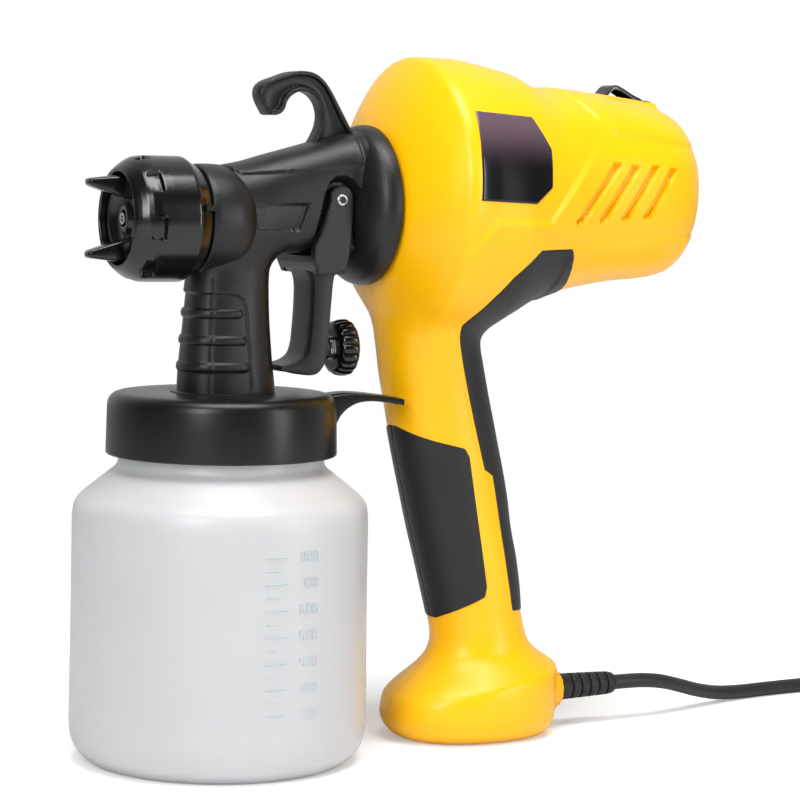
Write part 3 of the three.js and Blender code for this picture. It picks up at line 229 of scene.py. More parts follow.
def column_field(rows: tuple, p: Array, height: Array, top: float) -> Array:
    """Field of an upright body that is a superellipse at each height.

    Args:
        rows: for each height the height, centre x, half length, half width and power.
        p: points in millimetres, the coordinates last.
        height: the height at which each point reads the rows.
        top: where the body is cut off.

    Returns:
        About the distance outside the body, negative inside.
    """
    x, y, z = np.moveaxis(p, -1, 0)
    middle, length, half, power = np.moveaxis(through(rows, height), -1, 0)
    skin = (rounded(y / half, (x - middle) / length, power) - 1) * np.minimum(half, length)
    return np.maximum(skin, np.maximum(rows[0][0] - z, z - top))


def cast(form: Callable[[Array], Array], start: Array, ray: Array, limit: Array, steps: int = 26) -> Array:
    """Finds where rays from inside a form leave it, by halving the span between inside and outside.

    Args:
        form: the field, negative inside.
        start: where the rays start.
        ray: their unit directions.
        limit: how far along each ray the way out is looked for.
        steps: how many times the span is halved.

    Returns:
        The points on the form's skin.
    """
    low, high = np.zeros(limit.shape), limit.copy()
    for _ in range(steps):
        middle = (low + high) / 2
        inside = form(start + ray * middle[..., None]) < 0
        low, high = np.where(inside, middle, low), np.where(inside, high, middle)
    return start + ray * high[..., None]


@dataclass
class Patch:
    """Points of a surface on a grid of two parameters, in millimetres.

    The first axis runs along the piece and the second round or across it. Seen from outside, the first parameter
    crossed with the second points outwards unless `flip` is set.
    """

    points: Array
    closed: bool = False
    flip: bool = False
    start_cap: bool = False
    end_cap: bool = False

    def corners(self) -> tuple[Array, Array, Array]:
        """Vertices, quads and triangles of the patch, as whole arrays.

        Returns:
            Vertices, quads and triangles.
        """
        rows, count = self.points.shape[:2]
        verts = self.points.reshape(-1, 3)
        i = np.arange(rows - 1)[:, None] * count
        j = np.arange(count if self.closed else count - 1)[None]
        k = (j + 1) % count
        quads = np.stack([i + j, i + count + j, i + count + k, i + k], -1).reshape(-1, 4)
        fans = []
        ring = np.arange(count)
        for wanted, row in ((self.start_cap, 0), (self.end_cap, rows - 1)):
            if wanted:
                centre = len(verts)
                verts = np.vstack([verts, self.points[row].mean(0)])
                a, b = row * count + ring, row * count + (ring + 1) % count
                pair = (a, b) if row == 0 else (b, a)
                fans.append(np.stack([np.full(count, centre), *pair], -1))
        triangles = np.vstack(fans) if fans else np.zeros((0, 3), int)
        if self.flip:
            quads, triangles = quads[:, ::-1], triangles[:, ::-1]
        return verts, quads, triangles


def build(name: str, patches: Sequence[Patch], crease: float = 40.0, weld: float = 0.0) -> bpy.types.Object:
    """Makes one object of several patches.

    Args:
        name: the object's name.
        patches: the surfaces, in millimetres.
        crease: angle in degrees above which an edge is drawn sharp.
        weld: distance in millimetres under which points are merged; 0 leaves them apart.

    Returns:
        The object, at the origin, smooth shaded.
    """
    verts, loops, sizes, offset = [], [], [], 0
    for patch in patches:
        v, quads, triangles = patch.corners()
        verts.append(v)
        loops += [(quads + offset).ravel(), (triangles + offset).ravel()]
        sizes += [np.full(len(quads), 4), np.full(len(triangles), 3)]
        offset += len(v)
    points = np.vstack(verts) * MM
    corner, size = np.concatenate(loops).astype(np.int32), np.concatenate(sizes).astype(np.int32)
    mesh = bpy.data.meshes.new(name)
    mesh.vertices.add(len(points))
    mesh.vertices.foreach_set("co", points.astype(np.float32).ravel())
    mesh.loops.add(len(corner))
    mesh.loops.foreach_set("vertex_index", corner)
    mesh.polygons.add(len(size))
    mesh.polygons.foreach_set("loop_start", (np.cumsum(size) - size).astype(np.int32))
    mesh.update(calc_edges=True)
    mesh.validate()
    if weld:
        bm = bmesh.new()
        bm.from_mesh(mesh)
        bmesh.ops.remove_doubles(bm, verts=bm.verts, dist=weld * MM)
        bmesh.ops.dissolve_degenerate(bm, edges=bm.edges, dist=weld * MM * 0.1)
        bm.to_mesh(mesh)
        bm.free()
    mesh.shade_smooth()
    mesh.set_sharp_from_angle(angle=math.radians(crease))
    piece = bpy.data.objects.new(name, mesh)
    bpy.context.scene.collection.objects.link(piece)
    return piece


def circle(count: int) -> Array:
    """Angles round a full turn, without its end."""
    return np.linspace(0, 2 * math.pi, count, endpoint=False)


def squircle(count: int, power: float) -> tuple[Array, Array]:
    """Points round a unit superellipse: the sign of cosine and sine, times their size to the power 2 / `power`."""
    angle = circle(count)
    u, v = (np.sign(f(angle)) * np.abs(f(angle)) ** (2 / power) for f in (np.cos, np.sin))
    return u, v


def turned(profile: Sequence[tuple[float, float]], sides: int) -> Patch:
    """A profile of (radius, height) pairs carried once round the bottle's axis.

    Args:
        profile: the pairs, in millimetres.
        sides: how many steps make the turn.

    Returns:
        The surface.
    """
    r, z = np.array(profile, float).T[..., None]
    a = circle(sides)
    return Patch(np.stack([r * np.cos(a), r * np.sin(a), z + 0 * a], -1), closed=True, flip=True)


def turned_x(profile: Sequence[tuple[float, float]], sides: int, height: float) -> Patch:
    """A profile of (x, radius) pairs carried once round an axis along X at the given height.

    Args:
        profile: the pairs, in millimetres.
        sides: how many steps make the turn.
        height: the axis's height.

    Returns:
        The surface.
    """
    x, r = np.array(profile, float).T[..., None]
    a = circle(sides)
    return Patch(np.stack([x + 0 * a, r * np.cos(a), height + r * np.sin(a)], -1), closed=True, flip=True)


# ---------------------------------------------------------------- finishes


def add_node(tree: bpy.types.NodeTree, kind: str, settings: dict | None = None, **sockets: object) -> bpy.types.Node:
    """Adds one shader node.

    Args:
        tree: the material's node tree.
        kind: the node's type name, without its ShaderNode prefix.
        settings: properties of the node.
        sockets: values or output sockets, by input name with spaces as underscores, or _0, _1 for an index.

    Returns:
        The new node.
    """
    made = tree.nodes.new(f"ShaderNode{kind}")
    for key, value in (settings or {}).items():
        setattr(made, key, value)
    for key, value in sockets.items():
        socket = made.inputs[int(key[1:])] if key[1:].isdigit() else made.inputs[key.replace("_", " ")]
        if isinstance(value, bpy.types.NodeSocket):
            tree.links.new(value, socket)
        else:
            socket.default_value = value
    return made


@dataclass(frozen=True)
class Finish:
    """A moulded, cast or turned surface: base colour, gloss, grain and a faint unevenness.

    `colour` and `shade` are the two colours that it wanders between over `patches` millimetres, and `spread` is how
    far the roughness goes either way. `grain` is the size of the finest texture in millimetres, `relief` its height.
    """

    name: str
    colour: str
    shade: str
    roughness: float
    spread: float = 0.05
    grain: float = 0.5
    relief: float = 0.01
    patches: float = 18.0
    metallic: float = 0.0
    ior: float = 1.5
    subsurface: float = 0.0

    def make(self) -> bpy.types.Material:
        """The node-based material: two noises of real size, the broad one driving the colour and the fine one the
        roughness and the relief.

        Returns:
            The material.
        """
        material = bpy.data.materials.new(self.name)
        material.use_nodes = True
        tree = material.node_tree
        shader = tree.nodes["Principled BSDF"]
        place = add_node(tree, "TexCoord").outputs["Object"]
        broad = add_node(tree, "TexNoise", Vector=place, Scale=1 / MM / self.patches, Detail=3.0, Roughness=0.5)
        colours = {"_6": linear(self.colour), "_7": linear(self.shade)}
        mixed = add_node(tree, "Mix", {"data_type": "RGBA"}, _0=broad.outputs["Fac"], **colours)
        tree.links.new(mixed.outputs[2], shader.inputs["Base Color"])
        fine = add_node(tree, "TexNoise", Vector=place, Scale=1 / MM / self.grain, Detail=2.0, Roughness=0.6)
        noise = fine.outputs["Fac"]
        ends = {"To_Min": self.roughness - self.spread, "To_Max": self.roughness + self.spread}
        rough = add_node(tree, "MapRange", Value=noise, From_Min=0.3, From_Max=0.7, **ends)
        tree.links.new(rough.outputs["Result"], shader.inputs["Roughness"])
        bump = add_node(tree, "Bump", Height=noise, Strength=1.0, Distance=self.relief * MM)
        tree.links.new(bump.outputs["Normal"], shader.inputs["Normal"])
        shader.inputs["Metallic"].default_value = self.metallic
        if not self.metallic:
            shader.inputs["IOR"].default_value = self.ior
        if self.subsurface:
            shader.inputs["Subsurface Weight"].default_value = self.subsurface
            shader.inputs["Subsurface Scale"].default_value = 4 * MM
        return material


def painted_top_sheen(material: bpy.types.Material, colour: str, low: float, high: float) -> bpy.types.Material:
    """Paints a highlight towards the top: mixes another colour in with height, from none at `low` to all of it at
    `high`, both in metres.

    Args:
        material: the material to change.
        colour: the painted highlight's colour, as hex.
        low: where it starts.
        high: where it is all there is.

    Returns:
        The same material.
    """
    tree = material.node_tree
    base = tree.nodes["Principled BSDF"].inputs["Base Color"]
    height = add_node(tree, "SeparateXYZ", Vector=add_node(tree, "TexCoord").outputs["Object"]).outputs["Z"]
    share = add_node(
        tree, "MapRange", {"interpolation_type": "SMOOTHSTEP"}, Value=height, From_Min=low, From_Max=high
    ).outputs["Result"]
    mixed = add_node(
        tree, "Mix", {"data_type": "RGBA"}, _0=share, _6=base.links[0].from_socket, _7=linear(colour)
    ).outputs[2]
    tree.links.new(mixed, base)
    return material


class Finishes:
    """All finishes of the sprayer, made once."""

    def __init__(self) -> None:
        """Makes each material: two colours, roughness and its spread, grain, relief and patch size in millimetres."""
        # Injection-moulded ABS, fine spark-eroded mould: even deep yellow, soft broad highlights.
        self.yellow = Finish("abs_yellow", "#f9b800", "#f7b400", 0.34, 0.04, 0.35, 0.004, 30, ior=1.4).make()
        # Moulded polypropylene, sand-grained: near black, grey sheen broken up by the grain.
        self.black = Finish(
            "polypropylene_grained_black", "#0e0f10", "#131416", 0.4, 0.1, 0.5, 0.07, 12, ior=1.42
        ).make()
        # Polished moulded ABS: black, with sharp small highlights.
        self.gloss = Finish("abs_polished_black", "#070708", "#0a0a0b", 0.2, 0.04, 0.8, 0.004, 14).make()
        # Satin moulded polypropylene: the lid's even dark grey bands of light.
        self.satin = Finish(
            "polypropylene_satin_black", "#0a0a0b", "#0d0d0e", 0.33, 0.04, 0.45, 0.008, 20, ior=1.4
        ).make()
        # Thermoplastic rubber: dull charcoal with a wide soft sheen.
        self.rubber = Finish("soft_rubber_charcoal", "#1a1a1b", "#1f1f20", 0.5, 0.06, 0.3, 0.02, 16, ior=1.4).make()
        # Blown high-density polyethylene: milky, light passes into the wall and comes out spread.
        self.milky = Finish(
            "polyethylene_milky", "#bdbdbf", "#b8b8ba", 0.36, 0.05, 1.4, 0.02, 26, subsurface=0.35
        ).make()
        # Extruded soft PVC: dull black with a faint sheen.
        self.sheath = Finish("cord_sheath_black", "#141415", "#191919", 0.5, 0.06, 0.3, 0.01, 10).make()
        # Film with a clear lacquer, sharp reflections: black, with a painted highlight fading it into plum grey
        # towards the top.
        film = Finish("label_film_black", "#0c0a0c", "#0c0a0c", 0.16, 0.02, 0.3, 0.001, 20).make()
        # painted highlight: plum grey mixed into the black film's colour towards its top
        self.film = painted_top_sheen(film, "#5c4a55", 0.224, 0.243)
        # Acetal seal: off-white, waxy.
        self.seal = Finish("acetal_natural", "#d9d6cc", "#d2cfc4", 0.5, 0.05, 0.4, 0.01, 8).make()
        # Turned bright steel: fine rings break the reflection.
        self.steel = Finish("steel_turned", "#b9bbbe", "#a9abaf", 0.28, 0.06, 0.25, 0.01, 6, metallic=1.0).make()
        # Turned brass: warm yellow metal with the same fine rings.
        self.brass = Finish("brass_turned", "#c2a15a", "#b59350", 0.3, 0.06, 0.25, 0.01, 6, metallic=1.0).make()
        # Enamelled copper wire in wound layers: reddish brown, streaked with light.
        self.copper = Finish("copper_enamelled", "#a1582c", "#8c4a24", 0.32, 0.08, 0.6, 0.08, 3, metallic=0.9).make()
        # Stacked electrical steel sheet: grey, half dull.
        self.iron = Finish("iron_laminated", "#5c5e62", "#54565a", 0.45, 0.08, 0.5, 0.03, 5, metallic=0.85).make()
        # Pressed carbon: dark grey and matt.
        self.carbon = Finish("carbon_pressed", "#242426", "#2c2c2e", 0.6, 0.08, 0.2, 0.02, 3).make()


def dress(piece: bpy.types.Object, material: bpy.types.Material) -> None:
    """Puts one material on the whole piece."""
    piece.data.materials.clear()
    piece.data.materials.append(material)


def enter(piece: bpy.types.Object, finish: bpy.types.Material, body: str, slot: str, *nodes: str) -> bpy.types.Object:
    """Dresses a finished piece, parents it to its body and hides the CAD nodes that it stands for.

    Args:
        piece: the object.
        finish: its material.
        body: the body that it moves with.
        slot: not used.
        nodes: the CAD nodes that it stands for, if any.

    Returns:
        The same object.
    """
    dress(piece, finish)
    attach(piece, body)
    if nodes:
        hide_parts(*nodes)
    log.info("%s: %d points", piece.name, len(piece.data.vertices))
    return piece


def dress_node(name: str, material: bpy.types.Material) -> None:
    """Gives a CAD node a better material without touching its mesh.

    Args:
        name: the node.
        material: its material.
    """
    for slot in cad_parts[name].material_slots:
        slot.link = "OBJECT"
        slot.material = material


# ---------------------------------------------------------------- stage


@dataclass
class Stage:
    """Camera at the photograph's angle, pale floor, soft lamps and a white surround."""

    eye: tuple[float, float, float] = (-0.41472386812, -0.92216554411, 0.22212576507)
    azimuth: float = -28.0
    pitch: float = math.degrees(math.atan(227 / 2697))
    roll: float = 1.15
    lens: float = 2697 * 36 / 800
    floor_glow: float = 0.3

    def camera(self) -> None:
        """Makes the camera: azimuth from +Y, pitch downwards, and a small roll against the clock."""
        a, p, r = math.radians(self.azimuth), math.radians(self.pitch), math.radians(self.roll)
        forward = Vector((-math.sin(a) * math.cos(p), math.cos(a) * math.cos(p), -math.sin(p)))
        level = Vector((math.cos(a), math.sin(a), 0))
        upright = level.cross(forward)
        right = level * math.cos(r) + upright * math.sin(r)
        up = upright * math.cos(r) - level * math.sin(r)
        data = bpy.data.cameras.new("camera")
        data.lens, data.sensor_width = self.lens, 36
        data.clip_start, data.clip_end = 0.05, 20
        camera = bpy.data.objects.new("camera", data)
        camera.matrix_world = Matrix.Translation(self.eye) @ Matrix((right, up, -forward)).transposed().to_4x4()
        bpy.context.scene.collection.objects.link(camera)
        bpy.context.scene.camera = camera

    def lamp(self, name: str, at: tuple, towards: tuple, size: tuple[float, float], power: float) -> None:
        """One soft rectangular lamp aimed at a point.

        Args:
            name: the lamp's name.
            at: where it stands, in metres.
            towards: the point it faces.
            size: its width and height.
            power: its watts.
        """
        data = bpy.data.lights.new(name, "AREA")
        data.shape, data.size, data.size_y, data.energy = "RECTANGLE", size[0], size[1], power
        lamp = bpy.data.objects.new(name, data)
        lamp.location = at
        lamp.rotation_euler = (Vector(towards) - Vector(at)).to_track_quat("-Z", "Y").to_euler()
        bpy.context.scene.collection.objects.link(lamp)

    def lights(self) -> None:
        """Softboxes left and right of the camera and a large one overhead."""
        middle = (0.08, 0, 0.13)
        self.lamp("softbox_left", (-0.95, -0.95, 0.75), middle, (0.35, 0.9), 13.0)
        self.lamp("softbox_right", (0.8, -1.1, 0.35), middle, (0.25, 0.9), 6.5)
        self.lamp("softbox_top", (0.0, -0.3, 1.3), middle, (0.9, 0.6), 17.0)

    def world(self) -> None:
        """A white surround at full strength for the camera and clear plastic; reflections see it from 0.1 towards the
        camera up to 0.75 behind the object, other rays at 0.21.
        """
        world = bpy.data.worlds.new("surround")
        world.use_nodes = True
        bpy.context.scene.world = world
        tree = world.node_tree
        rays = add_node(tree, "LightPath").outputs
        seen = add_node(
            tree, "Math", {"operation": "MAXIMUM"}, _0=rays["Is Camera Ray"], _1=rays["Is Transmission Ray"]
        ).outputs[0]
        direction = add_node(tree, "TexCoord").outputs["Generated"]
        ahead = add_node(
            tree, "VectorMath", {"operation": "DOT_PRODUCT"}, _0=direction, _1=(0.468, 0.88, 0.1)
        ).outputs["Value"]
        ends = {"From_Min": -0.1, "From_Max": 0.75, "To_Min": 0.1, "To_Max": 0.75}
        wall = add_node(tree, "MapRange", {"interpolation_type": "SMOOTHSTEP"}, Value=ahead, **ends).outputs["Result"]
        mirrored = add_node(tree, "Mix", _0=rays["Is Glossy Ray"], _2=0.21, _3=wall).outputs[0]
        strength = add_node(tree, "Mix", _0=seen, _2=mirrored, _3=1.0).outputs[0]
        tree.links.new(strength, tree.nodes["Background"].inputs["Strength"])
        tree.nodes["Background"].inputs["Color"].default_value = (1, 1, 1, 1)

    def floor(self) -> None:
        """A pale matt floor just under the feet, lifted to white where only the camera looks at it."""
        half, level = 3000.0, -0.02
        grid = np.array([[[-half, -half, level], [half, -half, level]], [[-half, half, level], [half, half, level]]])
        floor = build("floor", [Patch(grid, flip=True)])
        material = bpy.data.materials.new("floor_paint")
        material.use_nodes = True
        tree = material.node_tree
        shader = tree.nodes["Principled BSDF"]
        place = add_node(tree, "TexCoord").outputs["Object"]
        speckle = add_node(tree, "TexNoise", Vector=place, Scale=900.0, Detail=2.0).outputs["Fac"]
        tint = add_node(
            tree, "Mix", {"data_type": "RGBA"}, _0=speckle, _6=linear("#f0f0f0"), _7=linear("#f3f3f3")
        ).outputs[2]
        tree.links.new(tint, shader.inputs["Base Color"])
        shader.inputs["Roughness"].default_value = 0.9
        shader.inputs["Specular IOR Level"].default_value = 0.0
        rays = add_node(tree, "LightPath").outputs
        seen = add_node(
            tree, "Math", {"operation": "MAXIMUM"}, _0=rays["Is Camera Ray"], _1=rays["Is Transmission Ray"]
        ).outputs[0]
        away = add_node(tree, "VectorMath", {"operation": "DISTANCE"}, _0=place, _1=(0.1, 0.0, 0.0)).outputs["Value"]
        far = add_node(
            tree, "MapRange", {"interpolation_type": "SMOOTHSTEP"}, Value=away, From_Min=0.2, From_Max=0.55
        ).outputs["Result"]
        glow = add_node(tree, "Emission", Color=(1, 1, 1, 1), Strength=self.floor_glow).outputs[0]
        near = add_node(tree, "AddShader", _0=shader.outputs[0], _1=glow).outputs[0]
        white = add_node(tree, "Emission", Color=(1, 1, 1, 1), Strength=1.0).outputs[0]
        shown = add_node(tree, "MixShader", _0=far, _1=near, _2=white).outputs[0]
        total = add_node(tree, "MixShader", _0=seen, _1=shader.outputs[0], _2=shown).outputs[0]
        tree.links.new(total, tree.nodes["Material Output"].inputs["Surface"])
        dress(floor, material)

    def make(self) -> None:
        """Sets the whole stage."""
        self.camera()
        self.lights()
        self.world()
        self.floor()
        bpy.context.scene.view_settings.view_transform = "Standard"


# ---------------------------------------------------------------- cord


@dataclass
class Cord:
    """Mains cord: out of its bushing, down to the floor, and into a two-layer coil with the plug beside it."""

    radius: float = 3.0
    exit: tuple[float, float, float] = (177, 0, 16)
    centre: tuple[float, float] = (344, -27.4)
    inner: float = 24.0
    pitch: float = 6.5
    turns: float = 7.5
    tail: float = 26.0
    lead: tuple = (
        (177, 0, 16), (184, 0, 16), (192, 0.3, 15.7), (202, 2, 14.2), (213, 5.4, 11.2), (225, 9.8, 7.6),
        (238, 14.2, 4.7), (252, 17.8, 3.3), (266, 20, 3.05), (282, 21.1, 3.05), (300, 21.5, 3.05),
        (318, 21.5, 3.05), (337.7, 21.5, 3.05),
    )
    # the bushing's profile as x and radius: its collar in the foot, and where it hugs the cord
    bushing_collar: tuple = (
        (134, 4), (141, 4.2), (141, 6.4), (144, 6.4), (144, 4.2), (148, 4.4), (148.2, 6.3), (150, 6.4),
        (150.6, 6.1), (151, 5.3),
    )
    bushing_end: tuple = ((174.6, 4.5), (175.8, 4.2), (176.5, 3.7), (176.7, 3.2), (176.6, 2.6))
    grooves: int = 5
    # the plug's grip: x from its cord end, half height, half width
    grip_rows: tuple = (
        (0, 3.3, 3.3), (-0.3, 3.6, 3.6), (-6, 4.2, 4.2), (-9, 5.4, 6.2), (-12, 7, 9), (-15, 8.2, 11),
        (-18, 8.8, 12), (-26, 9.1, 12.4), (-33, 9.15, 12.5), (-35, 8.9, 12.2), (-35.8, 8.3, 11.6), (-36, 7.6, 11),
    )
    pin: tuple = ((-35, 1.9), (-50, 2.0), (-52.6, 1.95), (-53.5, 1.5), (-53.9, 0.8), (-54, 0.05))
    pin_place: float = 6.0

    def coil(self) -> Array:
        """The coil's centre line: it spirals in, climbs one layer over half a turn, and spirals out again.

        Returns:
            Points in millimetres, the last of them at the plug.
        """
        steps = 36
        turn = np.arange(int(self.turns * steps) + 1) / steps
        angle = math.pi / 2 - 2 * math.pi * turn
        radius = self.inner + self.pitch * np.abs(turn - self.turns / 2)
        low = self.radius + 0.05
        height = low + self.pitch * ramp(turn - self.turns / 2 + 0.25, 0.5)
        line = np.stack(
            [self.centre[0] + radius * np.cos(angle), self.centre[1] + radius * np.sin(angle), height], -1
        )
        last = line[-1] + (-self.tail, 0, 0)
        return np.vstack([line, last])

    def make(self, finishes: Finishes) -> None:
        """Args:
            finishes: the materials.
        """
        curve = bpy.data.curves.new("mains_cord", "CURVE")
        curve.dimensions = "3D"
        spline = curve.splines.new("POLY")
        smooth = refine(np.vstack([self.lead, self.coil()]), 3)
        spline.points.add(len(smooth) - 1)
        flat = np.hstack([smooth * MM, np.ones((len(smooth), 1))])
        spline.points.foreach_set("co", flat.astype(np.float32).ravel())
        curve.bevel_depth, curve.bevel_resolution, curve.use_fill_caps = self.radius * MM, 3, True
        piece = bpy.data.objects.new("mains_cord", curve)
        bpy.context.scene.collection.objects.link(piece)
        curve.materials.append(finishes.sheath)
        fittings = self.fittings(finishes)
        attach(piece, "turbine_unit")
        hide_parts("cord", "cord_coil")

    def bushing(self) -> Patch:
        """The strain relief: collar, a taper with a groove every 4.2 mm, and a rounded end.

        Returns:
            The surface.
        """
        profile = list(self.bushing_collar)
        steps = ((0, 0), (0.2, -0.1), (0.4, -0.75), (0.9, -0.75), (1.1, -0.12), (1.3, -0.03))
        for groove in range(self.grooves):
            x, r = 154.5 + 4.2 * groove, 5.25 - 0.12 * groove
            profile += [(x + along, r + out) for along, out in steps]
        return turned_x(profile + list(self.bushing_end), 56, self.exit[2])

    def fittings(self, finishes: Finishes) -> list[bpy.types.Object]:
        """Builds the bushing, the plug's grip and its two pins.

        Args:
            finishes: the materials.

        Returns:
            The three pieces.
        """
        low, high = (np.array(v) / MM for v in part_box("plug"))
        end, y, z = high[0], (low[1] + high[1]) / 2, (low[2] + high[2]) / 2
        x, tall, wide = refine(self.grip_rows, 5).T[..., None]
        u, v = squircle(72, 2.6)
        grip = Patch(np.stack([end + x + 0 * u, y + wide * u, z + tall * v], -1), True, start_cap=True, end_cap=True)
        pins = [turned_x([(end + along, r) for along, r in self.pin], 32, z) for _ in range(2)]
        for part, across in zip(pins, (-self.pin_place, self.pin_place)):
            part.points[..., 1] += y + across
        return [
            enter(build(name, patches), finish, "turbine_unit", slot, node)
            for name, patches, finish, slot, node in (
                ("bushing_detail", [self.bushing()], finishes.rubber, "grip_rubber", "cord_bushing"),
                ("plug_grip", [grip], finishes.sheath, "cord_black", "plug"),
                ("plug_pins", pins, finishes.steel, "cord_black", "plug"),
            )
        ]


# ---------------------------------------------------------------- housing


@dataclass
class HousingForm:
    """The turbine housing's outer form as one field: negative inside, zero on the skin, in millimetres."""

    # station x: top z, bottom z, half width, power
    head_rows: tuple = (
        (60, 232, 184, 25, 2.0), (61.5, 237.4, 179.4, 30.4, 2.0), (64, 244.4, 174.6, 36, 2.0),
        (68, 253.4, 168.8, 43, 2.0), (73, 261.6, 163.8, 49.2, 2.0), (77.6, 266.6, 160.8, 52.8, 2.02),
        (78.4, 266.7, 160.8, 52.9, 2.02), (90, 266.6, 160.8, 51.4, 2.1), (104, 264.4, 162.6, 49.5, 2.15),
        (114, 262.2, 167.2, 46.8, 2.2), (122, 258.2, 171.8, 44.5, 2.25), (128, 256.4, 174.6, 43, 2.3),
        (136, 255.8, 177.2, 40.8, 2.4), (146, 255.2, 179.2, 38.9, 2.4), (163, 252.9, 181.6, 37, 2.4),
        (176, 251.0, 182.5, 35.2, 2.35), (186, 248.5, 184.4, 32.0, 2.3), (192.5, 244.6, 189, 27.4, 2.2),
        (196.4, 238, 196, 21.2, 2.1), (198, 230, 204, 13.6, 2.0), (198.6, 224, 211, 7, 2.0),
        (198.8, 218, 217, 0.6, 2.0),
    )
    # station z: centre x, half length, half width, power
    handle_rows: tuple = (
        (0, 110.2, 26.5, 18.5, 2.2), (0.8, 110, 30, 22, 2.2), (3, 109.4, 33, 25.2, 2.2),
        (7, 108.9, 35.3, 27.8, 2.2), (11, 108.9, 35.9, 28.9, 2.2), (15, 109, 35.7, 29, 2.2),
        (19, 109.2, 35.4, 28.8, 2.2), (21.3, 109.6, 35.0, 28.4, 2.2), (22.3, 109.8, 34.2, 27.7, 2.2),
        (24.2, 110, 32.2, 25.8, 2.2), (27.4, 110.8, 28.4, 22.6, 2.15), (31, 111.9, 24.2, 19.5, 2.1),
        (34.5, 112.6, 21.2, 17.7, 2.1), (38, 112.6, 19.8, 17, 2.1), (43, 111.9, 19.2, 16.6, 2.1),
        (50, 110.3, 19.3, 16.4, 2.1), (59, 108.6, 19.9, 16.5, 2.15), (71, 106, 20.5, 16.8, 2.15),
        (83, 102.9, 20.8, 17, 2.15), (97, 100, 21.4, 17.2, 2.15), (106, 97.9, 21.5, 17.4, 2.15),
        (118, 95, 21.4, 17.6, 2.15), (130, 92.3, 21.1, 17.9, 2.15), (142, 89.6, 20.6, 18.2, 2.15),
        (150, 88.0, 19.9, 18.6, 2.15), (155, 87.1, 19.4, 19.1, 2.15), (159, 86.6, 19.4, 19.7, 2.15),
        (163, 86.6, 20.0, 20.6, 2.15), (167, 88.0, 21.7, 22, 2.15), (171, 90, 24.6, 23.8, 2.2),
        (176, 95.4, 30.6, 26.5, 2.2), (181, 103, 37.2, 29, 2.2), (190, 107, 41, 30.5, 2.2),
    )
    # each slot: x at the top, x at the bottom, top z, bottom z
    slots: tuple = (
        (148.9, 129.2, 227.9, 204.4), (157.8, 141.2, 227.2, 205.2), (166.9, 152.3, 226.6, 205.7),
        (176.4, 163.2, 226.1, 206.7),
    )
    step: tuple = (
        (55, 170), (69.9, 184.4), (87.3, 205.7), (113.6, 205.2), (134.4, 230), (140, 238), (220, 238), (220, 110),
        (55, 110),
    )
    saddle: tuple = (
        (136, 280), (134, 258), (133.4, 254.6), (136.6, 252.2), (140.2, 247.5), (143.3, 243.3), (147.5, 239.3),
        (150.2, 238.1), (167.5, 236.6), (183.9, 234.9), (210, 232.6), (210, 280),
    )
    belly: tuple = ((124.5, 195.0), (152.4, 196.8), (181, 199), (210, 201), (210, 110), (124.5, 110))
    # z and x of the crease behind the drum
    crease: tuple = (
        (183.3, 69.1), (198.5, 71.6), (205.6, 72.9), (215.1, 74.1), (225.6, 75.6), (235, 76.5), (245.7, 77),
        (254.1, 77.9), (260.6, 79),
    )
    step_rise: float = 0.9
    saddle_rise: float = 0.85
    belly_rise: float = 0.8
    crease_rise: float = 0.28
    slot_half: float = 1.75
    slot_depth: float = 2.3
    seam_depth: float = 0.22
    fillet: float = 6.5
    # the cord's boss: height, radius, start and end along X
    boss: tuple[float, float, float, float] = (16, 8.4, 120, 148.6)
    # the switch's flat: middle x and z, slope, and half length, width and height
    pad: tuple[float, ...] = (171.4, 245.9, 0.084, 12.2, 7, 6)

    def handle(self, p: Array) -> Array:
        """Handle and foot: a superellipse at each height, level but for the foot's crest, which rises to the rear.

        Args:
            p: points in millimetres, the coordinates last.

        Returns:
            Its field there, negative inside.
        """
        x, z = p[..., 0], p[..., 2]
        crest = (0.165 * (x - 101.3)) * ramp(z - 6, 12) * (1 - ramp(z - 26, 22))
        return column_field(self.handle_rows, p, z - crest, 196)

    def relief(self, p: Array) -> Array:
        """Moulded detail: three panels and the drum raised, four slots sunk, and a groove between the halves.

        Args:
            p: points in millimetres, the coordinates last.

        Returns:
            How far the detail stands proud of the plain form there, in millimetres.
        """
        x, y, z = np.moveaxis(p, -1, 0)
        flank = ramp(np.abs(y) - 8, 8)
        lift = self.step_rise * inset(self.step, x, z, 1.7) * ramp(238 - z, 12) * ramp(x - 64, 8) * ramp(z - 132, 34)
        lift += self.saddle_rise * inset(self.saddle, x, z, 1.7)
        lift += self.belly_rise * inset(self.belly, x, z, 0.8) * flank * ramp(x - 124.5, 3)
        behind = x - np.interp(z, *zip(*self.crease))
        lift += self.crease_rise * np.clip(behind / 0.7, 0, 1) * ramp(z - 178, 12) * ramp(262 - z, 6)
        for top, bottom, high, low in self.slots:
            lean = (top - bottom) / (high - low)
            across = np.abs(x - bottom - (z - low) * lean) / math.hypot(1, lean) - self.slot_half
            lift -= self.slot_depth * ramp(-np.maximum(across, np.maximum(z - high, low - z)), 0.7) * flank
        return lift - self.seam_depth * np.exp(-((y / 0.35) ** 2)) * ramp(198 - x, 1)

    def plain(self, p: Array) -> Array:
        """Head and handle joined with a round fillet, with the switch's flat and the cord's boss.

        Args:
            p: points in millimetres, the coordinates last.

        Returns:
            The field there without moulded detail, negative inside.
        """
        x, y, z = np.moveaxis(p, -1, 0)
        body = blend_down(barrel_field(self.head_rows, p), self.handle(p), self.fillet)
        height, radius, start, end = self.boss
        boss = np.maximum(np.hypot(y, z - height) - radius, np.maximum(x - end, start - x))
        middle, level, slope, long, wide, tall = self.pad
        top = np.abs(z - level + slope * (x - middle)) - tall
        pad = np.maximum(np.abs(x - middle) - long, np.maximum(np.abs(y) - wide, top))
        return blend_down(blend_down(body, boss, 3.0), pad, 2.5)

    def __call__(self, p: Array) -> Array:
        """The finished field: the plain form less its relief."""
        return self.plain(p) - self.relief(p)

